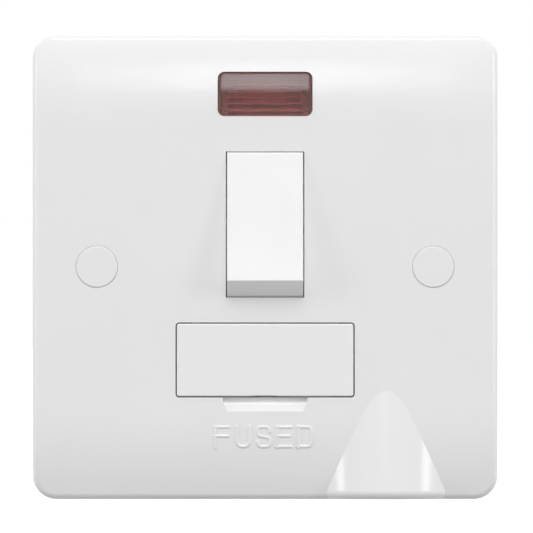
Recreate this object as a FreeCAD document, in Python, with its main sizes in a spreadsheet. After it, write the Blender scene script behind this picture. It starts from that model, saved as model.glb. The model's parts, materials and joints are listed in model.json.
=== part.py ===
import FreeCAD, Part
import math
import os
import re

import Sketcher
from FreeCAD import Placement, Rotation, Vector

# A one-gang switched fused spur unit: moulded front plate with a crowned face, rocker switch,
# neon indicator, pull-out fuse carrier and a hooded flex outlet in the bottom edge.
# The frame: X runs to the right as the user sees it, Z runs up, the face looks along -Y.
# The origin is the centre of the plate on the wall plane, where its rim meets the wall.

# Driving sizes, in millimetres and degrees.
SIZES = {
    "plate_size": 84.0,  # width and height of the front plate
    "plate_corner": 4.5,
    "plate_depth": 9.5,  # from the wall to the flat of the face
    "plate_wall": 2.4,
    "side_draft": 2.0,
    "edge_round": 1.4,
    "band_height": 15.6,  # the face falls away in a band along each edge
    "flank_width": 8.0,
    "band_radius": 50.0,  # the bands fall away on these radii
    "flank_radius": 45.0,
    "overrun": 1.5,  # how far a cutting tool starts outside what it cuts
    "embed": 0.6,  # how far a boss is rooted in the wall that carries it
    "seat_gap": 0.1,  # play round a piece laid in a pocket
    "fixing_pitch": 60.3,
    "fixing_screw": 3.5,
    "fixing_hole": 4.2,
    "fixing_neck": 2.9,  # the screws are waisted inside the plate, so that it holds them captive
    "neck_play": 0.3,  # neck behind the boss
    "fixing_reach": 18.0,  # screw length beyond the wall plane
    "fixing_boss": 9.6,
    "boss_rise": 0.6,  # the fixing bosses stop this far short of the wall plane
    "screw_head": 6.6,
    "cap_width": 7.5,
    "cap_gap": 0.2,
    "cap_depth": 1.7,
    "cap_disc": 1.0,
    "cap_skirt": 0.6,
    "rocker_width": 13.65,
    "rocker_gap": 0.2,
    "rocker_radius": 14.2,  # its curved ends, about the pivot
    "rocker_proud": 2.1,  # face above the plate when level
    "rocker_centre": 7.58,  # height of the pivot above the plate's centre
    "rocker_throw": 17.2,
    "rocker_wall": 1.6,
    "rocker_edge": 0.25,
    "rocker_skirt": 2.9,  # skirt edge in front of the pivot
    "dish_radius": 200.0,  # hollow of the lower half of the rocker
    "pivot_depth": 6.0,  # pivot behind the face
    "trunnion": 3.0,
    "trunnion_reach": 9.2,
    "pivot_play": 0.06,
    "hub_length": 5.2,  # hub edge behind the pivot
    "hub_height": 5.6,
    "cheek_inside": 7.2,
    "cheek_wall": 2.2,
    "cheek_height": 8.4,
    "cheek_depth": 2.6,  # cheek end behind the pivot
    "keeper_width": 2.9,
    "pole_offset": 3.2,  # each pole beside the middle
    "barrel": 4.4,
    "barrel_wall": 0.6,
    "barrel_reach": 5.0,  # barrel end behind the pivot
    "plunger": 3.0,
    "plunger_reach": 8.0,  # plunger tip behind the pivot
    "plunger_length": 9.0,
    "spring_wire": 0.4,
    "spring_turns": 4.0,
    "bar_length": 18.0,
    "bar_width": 4.0,
    "bar_thick": 1.2,
    "bar_play": 0.1,  # plunger tip to bar with the rocker level
    "fulcrum_round": 0.5,
    "fulcrum_play": 0.06,
    "contact_arm": 7.5,
    "contact_width": 2.6,
    "contact_rise": 0.8,
    "contact_gap": 0.1,  # between the contacts when closed
    "strip_thick": 0.8,
    "strip_width": 3.0,
    "strip_space": 1.2,  # clear distance between live and neutral strips
    "carrier_width": 31.7,
    "carrier_height": 13.04,
    "carrier_gap": 0.2,
    "carrier_centre": -16.7,
    "carrier_face": 2.2,
    "carrier_length": 16.1,
    "carrier_side": 1.8,
    "carrier_rail": 1.2,
    "carrier_edge": 0.3,
    "carrier_corner": 0.45,
    "carrier_travel": 12.2,
    "barb_rise": 0.5,
    "barb_width": 2.0,
    "barb_length": 1.4,
    "bay_wall": 1.4,
    "bay_floor": 1.2,
    "bay_room": 0.4,  # behind the carrier when it is home
    "notch_width": 6.0,
    "notch_height": 0.25,
    "recess_top": 15.2,
    "recess_bottom": 13.6,
    "recess_height": 2.5,
    "recess_depth": 1.5,
    "fuse_width": 6.3,
    "fuse_length": 25.4,
    "fuse_cap": 5.5,
    "ceramic_width": 6.0,
    "fuse_front": 0.4,  # fuse behind the carrier's face wall
    "saddle_offset": 3.6,
    "saddle_wall": 1.2,
    "clip_offset": 9.6,
    "clip_width": 3.8,
    "clip_thick": 0.6,
    "clip_gap": 0.1,
    "clip_reach": 2.0,  # clip fingers in front of the fuse's axis
    "lens_width": 16.7,
    "lens_height": 7.75,
    "lens_gap": 0.15,
    "lens_corner": 1.1,
    "lens_centre": 31.0,
    "lens_thick": 2.7,
    "lens_proud": 0.3,
    "lug_reach": 1.4,
    "lug_thick": 0.7,
    "lens_rib": 0.5,
    "lens_rib_pitch": 1.13,
    "lens_rib_depth": 0.9,
    "lens_margin": 1.7,  # plain border round the ribs
    "lamp_width": 3.6,
    "lamp_length": 11.0,
    "tray_width": 22.0,
    "tray_height": 10.0,
    "tray_wall": 1.0,
    "tray_floor": 1.2,
    "tray_rise": 0.4,  # tray floor in front of the wall plane
    "tray_depth": 5.0,
    "lead": 1.2,
    "lead_bend": 1.6,
    "resistor_width": 2.4,
    "resistor_length": 6.3,
    "housing_width": 49.0,
    "housing_height": 52.8,
    "housing_corner": 3.0,
    "housing_back": 20.0,  # behind the wall plane
    "housing_wall": 1.8,
    "housing_edge": 0.8,
    "chamber_inside": 6.2,
    "chamber_wall": 1.2,
    "chamber_front": 1.5,  # chamber walls start this far behind the wall plane
    "chamber_low": -4.0,
    "chamber_high": 11.8,
    "pole_barrier": 1.0,
    "block_width": 6.4,
    "block_height": 8.0,
    "block_bevel": 0.4,
    "block_inner": 11.5,  # earth terminals beside the middle
    "block_outer": 19.0,  # live and neutral terminals beside the middle
    "block_centre": 20.4,  # terminals above or below the middle
    "wire_bore": 4.0,
    "wire_depth": 3.0,  # bore axis behind the terminal's front face
    "entry_hole": 5.2,
    "terminal_screw": 3.9,
    "terminal_head": 5.4,
    "terminal_head_rise": 1.5,
    "driver_hole": 6.4,
    "slot_width": 0.9,
    "slot_depth": 0.7,
    "rib_wall": 0.8,
    "post_offset": 19.2,
    "post_height": 4.0,
    "post_width": 6.8,
    "post_front": 1.0,  # posts meet the plate's bosses in front of the wall plane
    "post_bore": 3.3,
    "housing_screw": 2.9,
    "housing_head": 5.8,
    "housing_head_rise": 1.9,
    "housing_screw_bite": 4.4,
    "pilot_bore": 3.0,
    "hood_inset": 20.3,  # from the right edge
    "hood_length": 19.7,  # from where it leaves the face to the bottom edge
    "hood_tilt": 8.8,
    "hood_radius": 14.3,
    "mouth_width": 11.0,
    "mouth_depth": 5.0,
    "clamp_inset": 10.0,  # from the bottom edge
    "clamp_length": 23.0,
    "clamp_height": 6.0,
    "clamp_thick": 3.0,
    "clamp_front": 1.6,  # clamp seat in front of the wall plane
    "clamp_pitch": 16.6,
    "clamp_saddle": 6.0,
    "clamp_saddle_depth": 1.0,
    "clamp_screw": 2.8,
    "clamp_head": 5.2,
    "clamp_head_rise": 1.7,
    "clamp_screw_bite": 3.8,
    "clamp_boss": 6.0,
}

doc = FreeCAD.newDocument("fused_spur_unit")
sheet = doc.addObject("Spreadsheet::Sheet", "sizes")
for row, (name, number) in enumerate(SIZES.items(), start=1):
    sheet.set(f"A{row}", name)
    sheet.set(f"B{row}", str(number))
    sheet.setAlias(f"B{row}", name)
doc.recompute()

# Places that several pieces share, as formulas of the driving sizes.
FACE = "-plate_depth"
UNDERSIDE = "(plate_wall - plate_depth)"
HALF = "plate_size / 2"
INSIDE = "(plate_size / 2 - plate_wall)"
FLAT_HIGH = "(plate_size - band_height * 2)"
FLAT_WIDE = "(plate_size - flank_width * 2)"
PIVOT = "(pivot_depth - plate_depth)"
REST = "rocker_throw / 2"
FULCRUM = "(pivot_depth - plate_depth + plunger_reach + bar_play + bar_thick)"
CONTACT_DIP = f"((contact_arm + contact_width / 2) * sin({REST}) + contact_rise * cos({REST}))"
CONTACT = f"({FULCRUM} + {CONTACT_DIP} + contact_gap)"
BAY_END = "(carrier_length - plate_depth + bay_room)"
STRIP_FRONT = f"max({CONTACT} + contact_rise; {BAY_END} + bay_floor + seat_gap)"
STRIP_BACK = f"({STRIP_FRONT} + strip_thick)"
WIRE = f"({STRIP_BACK} + wire_depth)"
HOOD = "(plate_size / 2 - hood_inset)"
HOOD_START = "(plate_size / 2 - hood_length)"
CLAMP = "(clamp_inset - plate_size / 2)"
BACK_WALL = "(housing_back - housing_wall)"
FUSE = f"(carrier_face - plate_depth + fuse_front + fuse_width / 2)"
BAY_HALF = "(carrier_width / 2 + carrier_gap)"
BAY_LOW = "(carrier_centre - carrier_height / 2 - carrier_gap)"
BAY_HIGH = "(carrier_centre + carrier_height / 2 + carrier_gap)"
LENS_SLOPE = f"asin((lens_centre - {FLAT_HIGH} / 2) / band_radius)"
CAVITY_SIDE = "(housing_width / 2 - housing_wall)"
CAVITY_TOP = "(housing_height / 2 - housing_wall)"
STRIP_LOW = f"(rocker_centre - strip_width - fulcrum_round * 2 - strip_width)"
SIDES = (-1, 1)


def cells(text):
    return re.sub(r"[a-z]\w*", lambda word: f"sizes.{word[0]}" if word[0] in SIZES else word[0], text)


def value(text):
    return float(sheet.evalExpression(cells(text)))


def bind(thing, target, text):
    thing.setExpression(target, cells(text))


def fall(radius, flat, reach):
    # How far a band has dropped at a distance from the middle.
    return f"({radius} - sqrt({radius} ^ 2 - ({reach} - {flat} / 2) ^ 2))"


def new_body(label):
    body = doc.addObject("PartDesign::Body", label)
    body.Label = label
    return body


def plane(body, role):
    return next(item for item in body.Origin.OriginFeatures if item.Role == role)


def sketch(body, role, offset="0", name="sketch"):
    # The front plane looks along -Y, the side plane along X and the top plane along Z.
    item = body.newObject("Sketcher::SketchObject", f"{body.Name}_{name}")
    item.AttachmentSupport = (plane(body, role), [""])
    item.MapMode = "FlatFace"
    sign = "-1 * " if role == "XZ_Plane" else ""
    bind(item, ".AttachmentOffset.Base.z", f"{sign}({offset})")
    return item


def front_sketch(body, depth, name="front"):
    return sketch(body, "XZ_Plane", depth, name)


def side_sketch(body, across="0", name="side"):
    return sketch(body, "YZ_Plane", across, name)


def top_sketch(body, height="0", name="top"):
    return sketch(body, "XY_Plane", height, name)


def dimension(item, kind, place, text):
    index = item.addConstraint(Sketcher.Constraint(kind, *place, value(text)))
    item.setExpression(f"Constraints[{index}]", cells(text))


def pin(item, shape, end, across=None, up=None):
    # Ties a point of the sketch to formulas.
    if across is not None:
        dimension(item, "DistanceX", (-1, 1, shape, end), across)
    if up is not None:
        dimension(item, "DistanceY", (-1, 1, shape, end), up)


def line(item, start, end):
    return item.addGeometry(Part.LineSegment(Vector(*start, 0), Vector(*end, 0)), False)


def arc(item, centre, radius, first, last):
    circle = Part.Circle(Vector(*centre, 0), Vector(0, 0, 1), radius)
    return item.addGeometry(Part.ArcOfCircle(circle, math.radians(first), math.radians(last)), False)


def join(item, first, first_end, second, second_end, smooth=False):
    kind = "Tangent" if smooth else "Coincident"
    item.addConstraint(Sketcher.Constraint(kind, first, first_end, second, second_end))


def outline(item, corners):
    places = [(value(across), value(up)) for across, up in corners]
    count = len(places)
    lines = [line(item, places[i], places[(i + 1) % count]) for i in range(count)]
    for i in range(count):
        join(item, lines[i], 2, lines[(i + 1) % count], 1)
    for i, (across, up) in enumerate(corners):
        pin(item, lines[i], 1, across, up)
    return lines


def rectangle(item, left, right, low, high):
    return outline(item, [(left, low), (right, low), (right, high), (left, high)])


def rounded_rectangle(item, left, right, low, high, radius):
    x0, x1, y0, y1, r = (value(text) for text in (left, right, low, high, radius))
    bottom = line(item, (x0 + r, y0), (x1 - r, y0))
    right_side = line(item, (x1, y0 + r), (x1, y1 - r))
    top = line(item, (x1 - r, y1), (x0 + r, y1))
    left_side = line(item, (x0, y1 - r), (x0, y0 + r))
    arcs = [
        arc(item, (x1 - r, y0 + r), r, 270, 360),
        arc(item, (x1 - r, y1 - r), r, 0, 90),
        arc(item, (x0 + r, y1 - r), r, 90, 180),
        arc(item, (x0 + r, y0 + r), r, 180, 270),
    ]
    lines = [bottom, right_side, top, left_side]
    for i, corner in enumerate(arcs):
        join(item, lines[i], 2, corner, 1, smooth=True)
        join(item, corner, 2, lines[(i + 1) % 4], 1, smooth=True)
    for level in (bottom, top):
        item.addConstraint(Sketcher.Constraint("Horizontal", level))
    for upright in (right_side, left_side):
        item.addConstraint(Sketcher.Constraint("Vertical", upright))
    for corner in arcs[1:]:
        item.addConstraint(Sketcher.Constraint("Equal", arcs[0], corner))
    dimension(item, "Radius", (arcs[0],), radius)
    pin(item, bottom, 1, up=low)
    pin(item, top, 1, up=high)
    pin(item, right_side, 1, across=right)
    pin(item, left_side, 1, across=left)


def circle(item, across, up, radius):
    shape = Part.Circle(Vector(value(across), value(up), 0), Vector(0, 0, 1), value(radius))
    index = item.addGeometry(shape, False)
    pin(item, index, 3, across, up)
    dimension(item, "Radius", (index,), radius)
    return index


def arch(item, across, up, radius, base, toward):
    # A slot with one round end. The round end points down or to the left of the sketch, and the
    # slot runs the other way as far as its base.
    x, y, r, b = (value(text) for text in (across, up, radius, base))
    if toward == "down":
        curve = arc(item, (x, y), r, 180, 360)
        sides = [line(item, (x + r, y), (x + r, b)), line(item, (x - r, b), (x - r, y))]
        end = line(item, (x + r, b), (x - r, b))
        straight, level = "Vertical", "Horizontal"
    else:
        curve = arc(item, (x, y), r, 90, 270)
        sides = [line(item, (x, y - r), (b, y - r)), line(item, (b, y + r), (x, y + r))]
        end = line(item, (b, y - r), (b, y + r))
        straight, level = "Horizontal", "Vertical"
    join(item, curve, 2, sides[0], 1, smooth=True)
    join(item, sides[0], 2, end, 1)
    join(item, end, 2, sides[1], 1)
    join(item, sides[1], 2, curve, 1, smooth=True)
    for side in sides:
        item.addConstraint(Sketcher.Constraint(straight, side))
    item.addConstraint(Sketcher.Constraint(level, end))
    pin(item, curve, 3, across, up)
    dimension(item, "Radius", (curve,), radius)
    if toward == "down":
        pin(item, end, 1, up=base)
    else:
        pin(item, end, 1, across=base)


def feature(body, kind, item, name):
    made = body.newObject(f"PartDesign::{kind}", f"{body.Name}_{name}")
    made.Profile = item
    item.Visibility = False
    return made


def extrude(body, kind, item, length, name, middle=False, back=False):
    # A pad grows along its sketch's normal and a pocket cuts against it, unless back is set.
    made = feature(body, kind, item, name)
    bind(made, "Length", length)
    made.SideType = "Symmetric" if middle else "One side"
    made.Reversed = back
    return made


def pad(body, item, length, name="pad", middle=False, back=False):
    return extrude(body, "Pad", item, length, name, middle, back)


def pocket(body, item, length, name="pocket", middle=False, back=False):
    return extrude(body, "Pocket", item, length, name, middle, back)


def soften(body, kind, size, wanted, name):
    # Rounds or bevels the edges of the body's last feature that a test picks.
    doc.recompute()
    base = body.Tip
    names = [f"Edge{i}" for i, edge in enumerate(base.Shape.Edges, start=1) if wanted(edge)]
    if not names:
        raise ValueError(f"{body.Label} {name}: no edge found")
    made = body.newObject(f"PartDesign::{kind}", f"{body.Name}_{name}")
    made.Base = (base, names)
    bind(made, "Radius" if kind == "Fillet" else "Size", size)
    return made


def place(thing, across="0", depth="0", height="0", turn=None, axis=Vector(1, 0, 0)):
    # Puts a body at its place. A turn is in degrees about the axis.
    angle = value(turn) if turn else 0
    spot = Vector(value(across), value(depth), value(height))
    thing.Placement = Placement(spot, Rotation(axis, angle))
    for letter, text in (("x", across), ("y", depth), ("z", height)):
        bind(thing, f".Placement.Base.{letter}", text)
    if turn:
        bind(thing, ".Placement.Rotation.Angle", turn)


def group(label, pattern, spots):
    # Like pieces in one node: copies of one pattern body, each at its own spot.
    copies = []
    for number, spot in enumerate(spots, start=1):
        copy = doc.addObject("App::Link", f"{label}_{number}")
        copy.LinkedObject = pattern
        place(copy, *spot)
        copies.append(copy)
    made = doc.addObject("Part::Compound", label)
    made.Label = label
    made.Links = copies
    return made


def near(number, text, within=0.02):
    return abs(number - value(text)) < within


def crown(body, top, reach, rear, name, kind):
    # The crowned solid: a profile across the plate, carried unturned along a profile up the plate.
    r, a, d, e = (value(text) for text in ("band_radius", f"{FLAT_HIGH} / 2", top, reach))
    swing = math.degrees(math.asin((e - a) / r))
    spine = side_sketch(body, "0", f"{name}_spine")
    low = arc(spine, (d + r, -a), r, 180, 180 + swing)
    flat = line(spine, (d, -a), (d, a))
    high = arc(spine, (d + r, a), r, 180 - swing, 180)
    join(spine, low, 1, flat, 1, smooth=True)
    join(spine, flat, 2, high, 2, smooth=True)
    spine.addConstraint(Sketcher.Constraint("Vertical", flat))
    pin(spine, flat, 1, top, f"-{FLAT_HIGH} / 2")
    pin(spine, flat, 2, up=f"{FLAT_HIGH} / 2")
    pin(spine, low, 2, up=f"-1 * ({reach})")
    pin(spine, high, 1, up=reach)
    for shape in (low, high):
        dimension(spine, "Radius", (shape,), "band_radius")
    spine.Visibility = False

    drop = fall("band_radius", FLAT_HIGH, reach)
    start = f"({top} + {drop})"
    section = top_sketch(body, f"-1 * ({reach})", f"{name}_section")
    base = f"{rear} + {drop}"
    r, a, d, b = (value(text) for text in ("flank_radius", f"{FLAT_WIDE} / 2", start, base))
    swing = math.degrees(math.asin((e - a) / r))
    left = arc(section, (-a, d + r), r, 270 - swing, 270)
    flat = line(section, (-a, d), (a, d))
    right = arc(section, (a, d + r), r, 270, 270 + swing)
    low_edge = d + r - r * math.cos(math.radians(swing))
    down = line(section, (e, low_edge), (e, b))
    back = line(section, (e, b), (-e, b))
    rise = line(section, (-e, b), (-e, low_edge))
    join(section, left, 2, flat, 1, smooth=True)
    join(section, flat, 2, right, 1, smooth=True)
    join(section, right, 2, down, 1)
    join(section, down, 2, back, 1)
    join(section, back, 2, rise, 1)
    join(section, rise, 2, left, 1)
    section.addConstraint(Sketcher.Constraint("Horizontal", flat))
    section.addConstraint(Sketcher.Constraint("Horizontal", back))
    section.addConstraint(Sketcher.Constraint("Vertical", down))
    section.addConstraint(Sketcher.Constraint("Vertical", rise))
    pin(section, flat, 1, f"-{FLAT_WIDE} / 2", start)
    pin(section, flat, 2, across=f"{FLAT_WIDE} / 2")
    pin(section, left, 1, across=f"-1 * ({reach})")
    pin(section, right, 2, across=reach)
    pin(section, back, 1, up=base)
    for shape in (left, right):
        dimension(section, "Radius", (shape,), "flank_radius")

    made = feature(body, kind, section, name)
    made.Spine = (spine, [])
    made.Mode = "Fixed"
    return made


def rim_distance(point):
    # From the plate's outline in front view, negative inside it.
    inner = value(f"{HALF} - plate_corner")
    across = max(abs(point.x) - inner, 0)
    up = max(abs(point.z) - inner, 0)
    return math.hypot(across, up) - value("plate_corner")


def hood_sketch(body, reach, radius, name):
    # A circle square to the tilted axis of the flex hood, where its crest meets a given height.
    item = top_sketch(body, f"-1 * ({reach}) - hood_radius * sin(hood_tilt)", name)
    depth = f"{FACE} - ({reach} - {HOOD_START}) * tan(hood_tilt) + hood_radius * cos(hood_tilt)"
    item.AttachmentOffset = Placement(Vector(0, 0, 0), Rotation(Vector(-1, 0, 0), value("hood_tilt")))
    bind(item, ".AttachmentOffset.Base.x", HOOD)
    bind(item, ".AttachmentOffset.Base.y", depth)
    bind(item, ".AttachmentOffset.Rotation.Angle", "hood_tilt")
    circle(item, "0", "0", radius)
    return item


def front_plate():
    body = new_body("front_plate")
    reach = f"({HALF} + overrun)"
    crown(body, FACE, reach, "overrun", "crown", "AdditivePipe")

    # The hood over the flex outlet.
    rise = f"({reach} - {HOOD_START}) / cos(hood_tilt) + overrun * 2"
    pad(body, hood_sketch(body, reach, "hood_radius", "hood_circle"), rise, "hood")

    # The sides, drafted from the rim, with the corners rounded.
    trim = front_sketch(body, "0", "sides")
    rectangle(trim, "-plate_size", "plate_size", "-plate_size", "plate_size")
    rounded_rectangle(trim, f"-{HALF}", HALF, f"-{HALF}", HALF, "plate_corner")
    sides = pocket(body, trim, "plate_depth * 3", "side_trim", back=True)
    bind(sides, "TaperAngle", "-side_draft")
    rear = front_sketch(body, "0", "rear")
    rectangle(rear, "-plate_size", "plate_size", "-plate_size", "plate_size")
    pocket(body, rear, "plate_size", "rear_trim")

    def outer_edge(edge):
        box = edge.BoundBox
        ends = [rim_distance(vertex.Point) > -0.8 for vertex in edge.Vertexes]
        return all(ends) and box.YMax < value(f"{FACE} / 3") and box.YLength < 0.8 * edge.Length
    soften(body, "Fillet", "edge_round", outer_edge, "rim_round")

    # The hollow behind the face, with rounded corners.
    crown(body, UNDERSIDE, INSIDE, "overrun", "hollow", "SubtractivePipe")

    def inner_corner(edge):
        box = edge.BoundBox
        return (box.YLength > 0.9 * edge.Length and near(abs(box.Center.x), INSIDE)
                and near(abs(box.Center.z), INSIDE))
    soften(body, "Fillet", "plate_corner - plate_wall", inner_corner, "hollow_corners")
    tunnel_rise = f"({INSIDE} - {HOOD_START}) / cos(hood_tilt) + overrun * 2"
    tunnel = hood_sketch(body, INSIDE, "hood_radius - plate_wall", "tunnel_circle")
    pocket(body, tunnel, tunnel_rise, "tunnel", back=True)
    mouth = top_sketch(body, f"-{reach}", "mouth")
    arch(mouth, HOOD, "-mouth_depth", "mouth_width / 2", "overrun", "down")
    pocket(body, mouth, "plate_wall + overrun * 2", "flex_mouth", back=True)

    # Bosses for the wall fixings, the rear housing's screws and the cord clamp.
    for side in SIDES:
        spot = f"{side} * fixing_pitch / 2"
        item = front_sketch(body, "-boss_rise", "fixing_boss")
        circle(item, spot, "0", "fixing_boss / 2")
        pad(body, item, f"-boss_rise - {UNDERSIDE} + embed", "fixing_boss_pad")
        item = front_sketch(body, "-post_front", "post_boss")
        circle(item, f"{side} * post_offset", "post_height", "post_width / 2")
        pad(body, item, f"-post_front - {UNDERSIDE} + embed", "post_boss_pad")
        item = front_sketch(body, "-clamp_front", "clamp_boss")
        circle(item, f"{HOOD} + {side} * clamp_pitch / 2", CLAMP, "clamp_boss / 2")
        pad(body, item, f"-clamp_front - {UNDERSIDE} + embed", "clamp_boss_pad")

    # Cheeks with bearing slots, open at the rear, for the rocker's trunnions.
    for side in SIDES:
        start = "cheek_inside" if side > 0 else "-cheek_inside - cheek_wall"
        item = side_sketch(body, start, "cheek")
        rectangle(item, f"{UNDERSIDE} - embed", f"{PIVOT} + cheek_depth",
                  "rocker_centre - cheek_height / 2", "rocker_centre + cheek_height / 2")
        pad(body, item, "cheek_wall", "cheek_pad")
    slot = side_sketch(body, "0", "bearing")
    arch(slot, PIVOT, "rocker_centre", "trunnion / 2 + pivot_play",
         f"{PIVOT} + cheek_depth + overrun", "left")
    pocket(body, slot, "(cheek_inside + cheek_wall + overrun) * 2", "bearing_slot", middle=True)

    # The rocker's opening follows the arc of its ends.
    item = side_sketch(body, "0", "rocker_hole")
    circle(item, PIVOT, "rocker_centre", "rocker_radius + rocker_gap")
    pocket(body, item, "rocker_width + rocker_gap * 2", "rocker_opening", middle=True)
    item = front_sketch(body, f"{FACE} - overrun", "carrier_hole")
    rounded_rectangle(item, f"-{BAY_HALF}", BAY_HALF, BAY_LOW, BAY_HIGH, "carrier_corner + carrier_gap")
    pocket(body, item, "plate_wall + overrun * 2", "carrier_opening")

    # The pry recess below the fuse carrier: a scoop, deepest at the carrier.
    item = front_sketch(body, f"{FACE} - overrun", "recess")
    outline(item, [
        ("-recess_bottom / 2", f"{BAY_LOW} - recess_height"),
        ("recess_bottom / 2", f"{BAY_LOW} - recess_height"),
        ("recess_top / 2", f"{BAY_LOW} - recess_height / 3"),
        ("recess_top / 2", f"{BAY_LOW} + overrun"),
        ("-recess_top / 2", f"{BAY_LOW} + overrun"),
        ("-recess_top / 2", f"{BAY_LOW} - recess_height / 3"),
    ])
    pocket(body, item, "overrun + recess_depth", "pry_recess")
    item = side_sketch(body, "0", "recess_slope")
    outline(item, [
        (f"{FACE} + recess_depth", BAY_LOW),
        (f"{FACE} + recess_depth * 0.55", f"{BAY_LOW} - recess_height * 0.5"),
        (FACE, f"{BAY_LOW} - recess_height"),
        (f"{FACE} + recess_depth + embed", f"{BAY_LOW} - recess_height"),
        (f"{FACE} + recess_depth + embed", BAY_LOW),
    ])
    pad(body, item, "recess_top", "recess_floor", middle=True)

    # The neon's opening is square to the crowned band that it sits in.
    item = front_sketch(body, "0", "lens_hole")
    tilt_to_band(item)
    half_width = "(lens_width / 2 + lens_gap)"
    half_height = "(lens_height / 2 + lens_gap)"
    rounded_rectangle(item, f"-{half_width}", half_width, f"-{half_height}", half_height,
                      "lens_corner + lens_gap")
    pocket(body, item, "plate_wall * 4", "lens_opening", middle=True)

    # Stepped holes for the fixing screws and their caps, and pilot holes in the other bosses.
    for side in SIDES:
        spot = f"{side} * fixing_pitch / 2"
        item = front_sketch(body, FACE, "cap_seat")
        circle(item, spot, "0", "cap_width / 2 + cap_gap")
        pocket(body, item, "cap_depth", "cap_recess")
        item = front_sketch(body, f"{FACE} + cap_depth", "head_seat")
        circle(item, spot, "0", "screw_head / 2 + seat_gap")
        sink = pocket(body, item, "(screw_head - fixing_hole) / 2 + seat_gap", "countersink")
        bind(sink, "TaperAngle", "-45")
        item = front_sketch(body, f"{FACE} + cap_depth", "fixing_bore")
        circle(item, spot, "0", "fixing_hole / 2")
        pocket(body, item, "plate_depth * 2", "fixing_hole")
        item = front_sketch(body, "-post_front", "post_pilot")
        circle(item, f"{side} * post_offset", "post_height", "pilot_bore / 2")
        pocket(body, item, "housing_screw_bite + seat_gap", "post_pilot_hole", back=True)
        item = front_sketch(body, "-clamp_front", "clamp_pilot")
        circle(item, f"{HOOD} + {side} * clamp_pitch / 2", CLAMP, "pilot_bore / 2")
        pocket(body, item, "clamp_screw_bite + seat_gap", "clamp_pilot_hole", back=True)
    return body


def tilt_to_band(item):
    depth = f"{FACE} + {fall('band_radius', FLAT_HIGH, 'lens_centre')}"
    item.AttachmentOffset = Placement(Vector(0, 0, 0), Rotation(Vector(-1, 0, 0), value(LENS_SLOPE)))
    bind(item, ".AttachmentOffset.Base.y", "lens_centre")
    bind(item, ".AttachmentOffset.Base.z", f"-1 * ({depth})")
    bind(item, ".AttachmentOffset.Rotation.Angle", LENS_SLOPE)


def span(hand, near_edge, far_edge):
    # The lower and higher X of a strip between two distances from the middle.
    return (near_edge, far_edge) if hand > 0 else (f"-1 * ({far_edge})", f"-1 * ({near_edge})")


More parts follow.
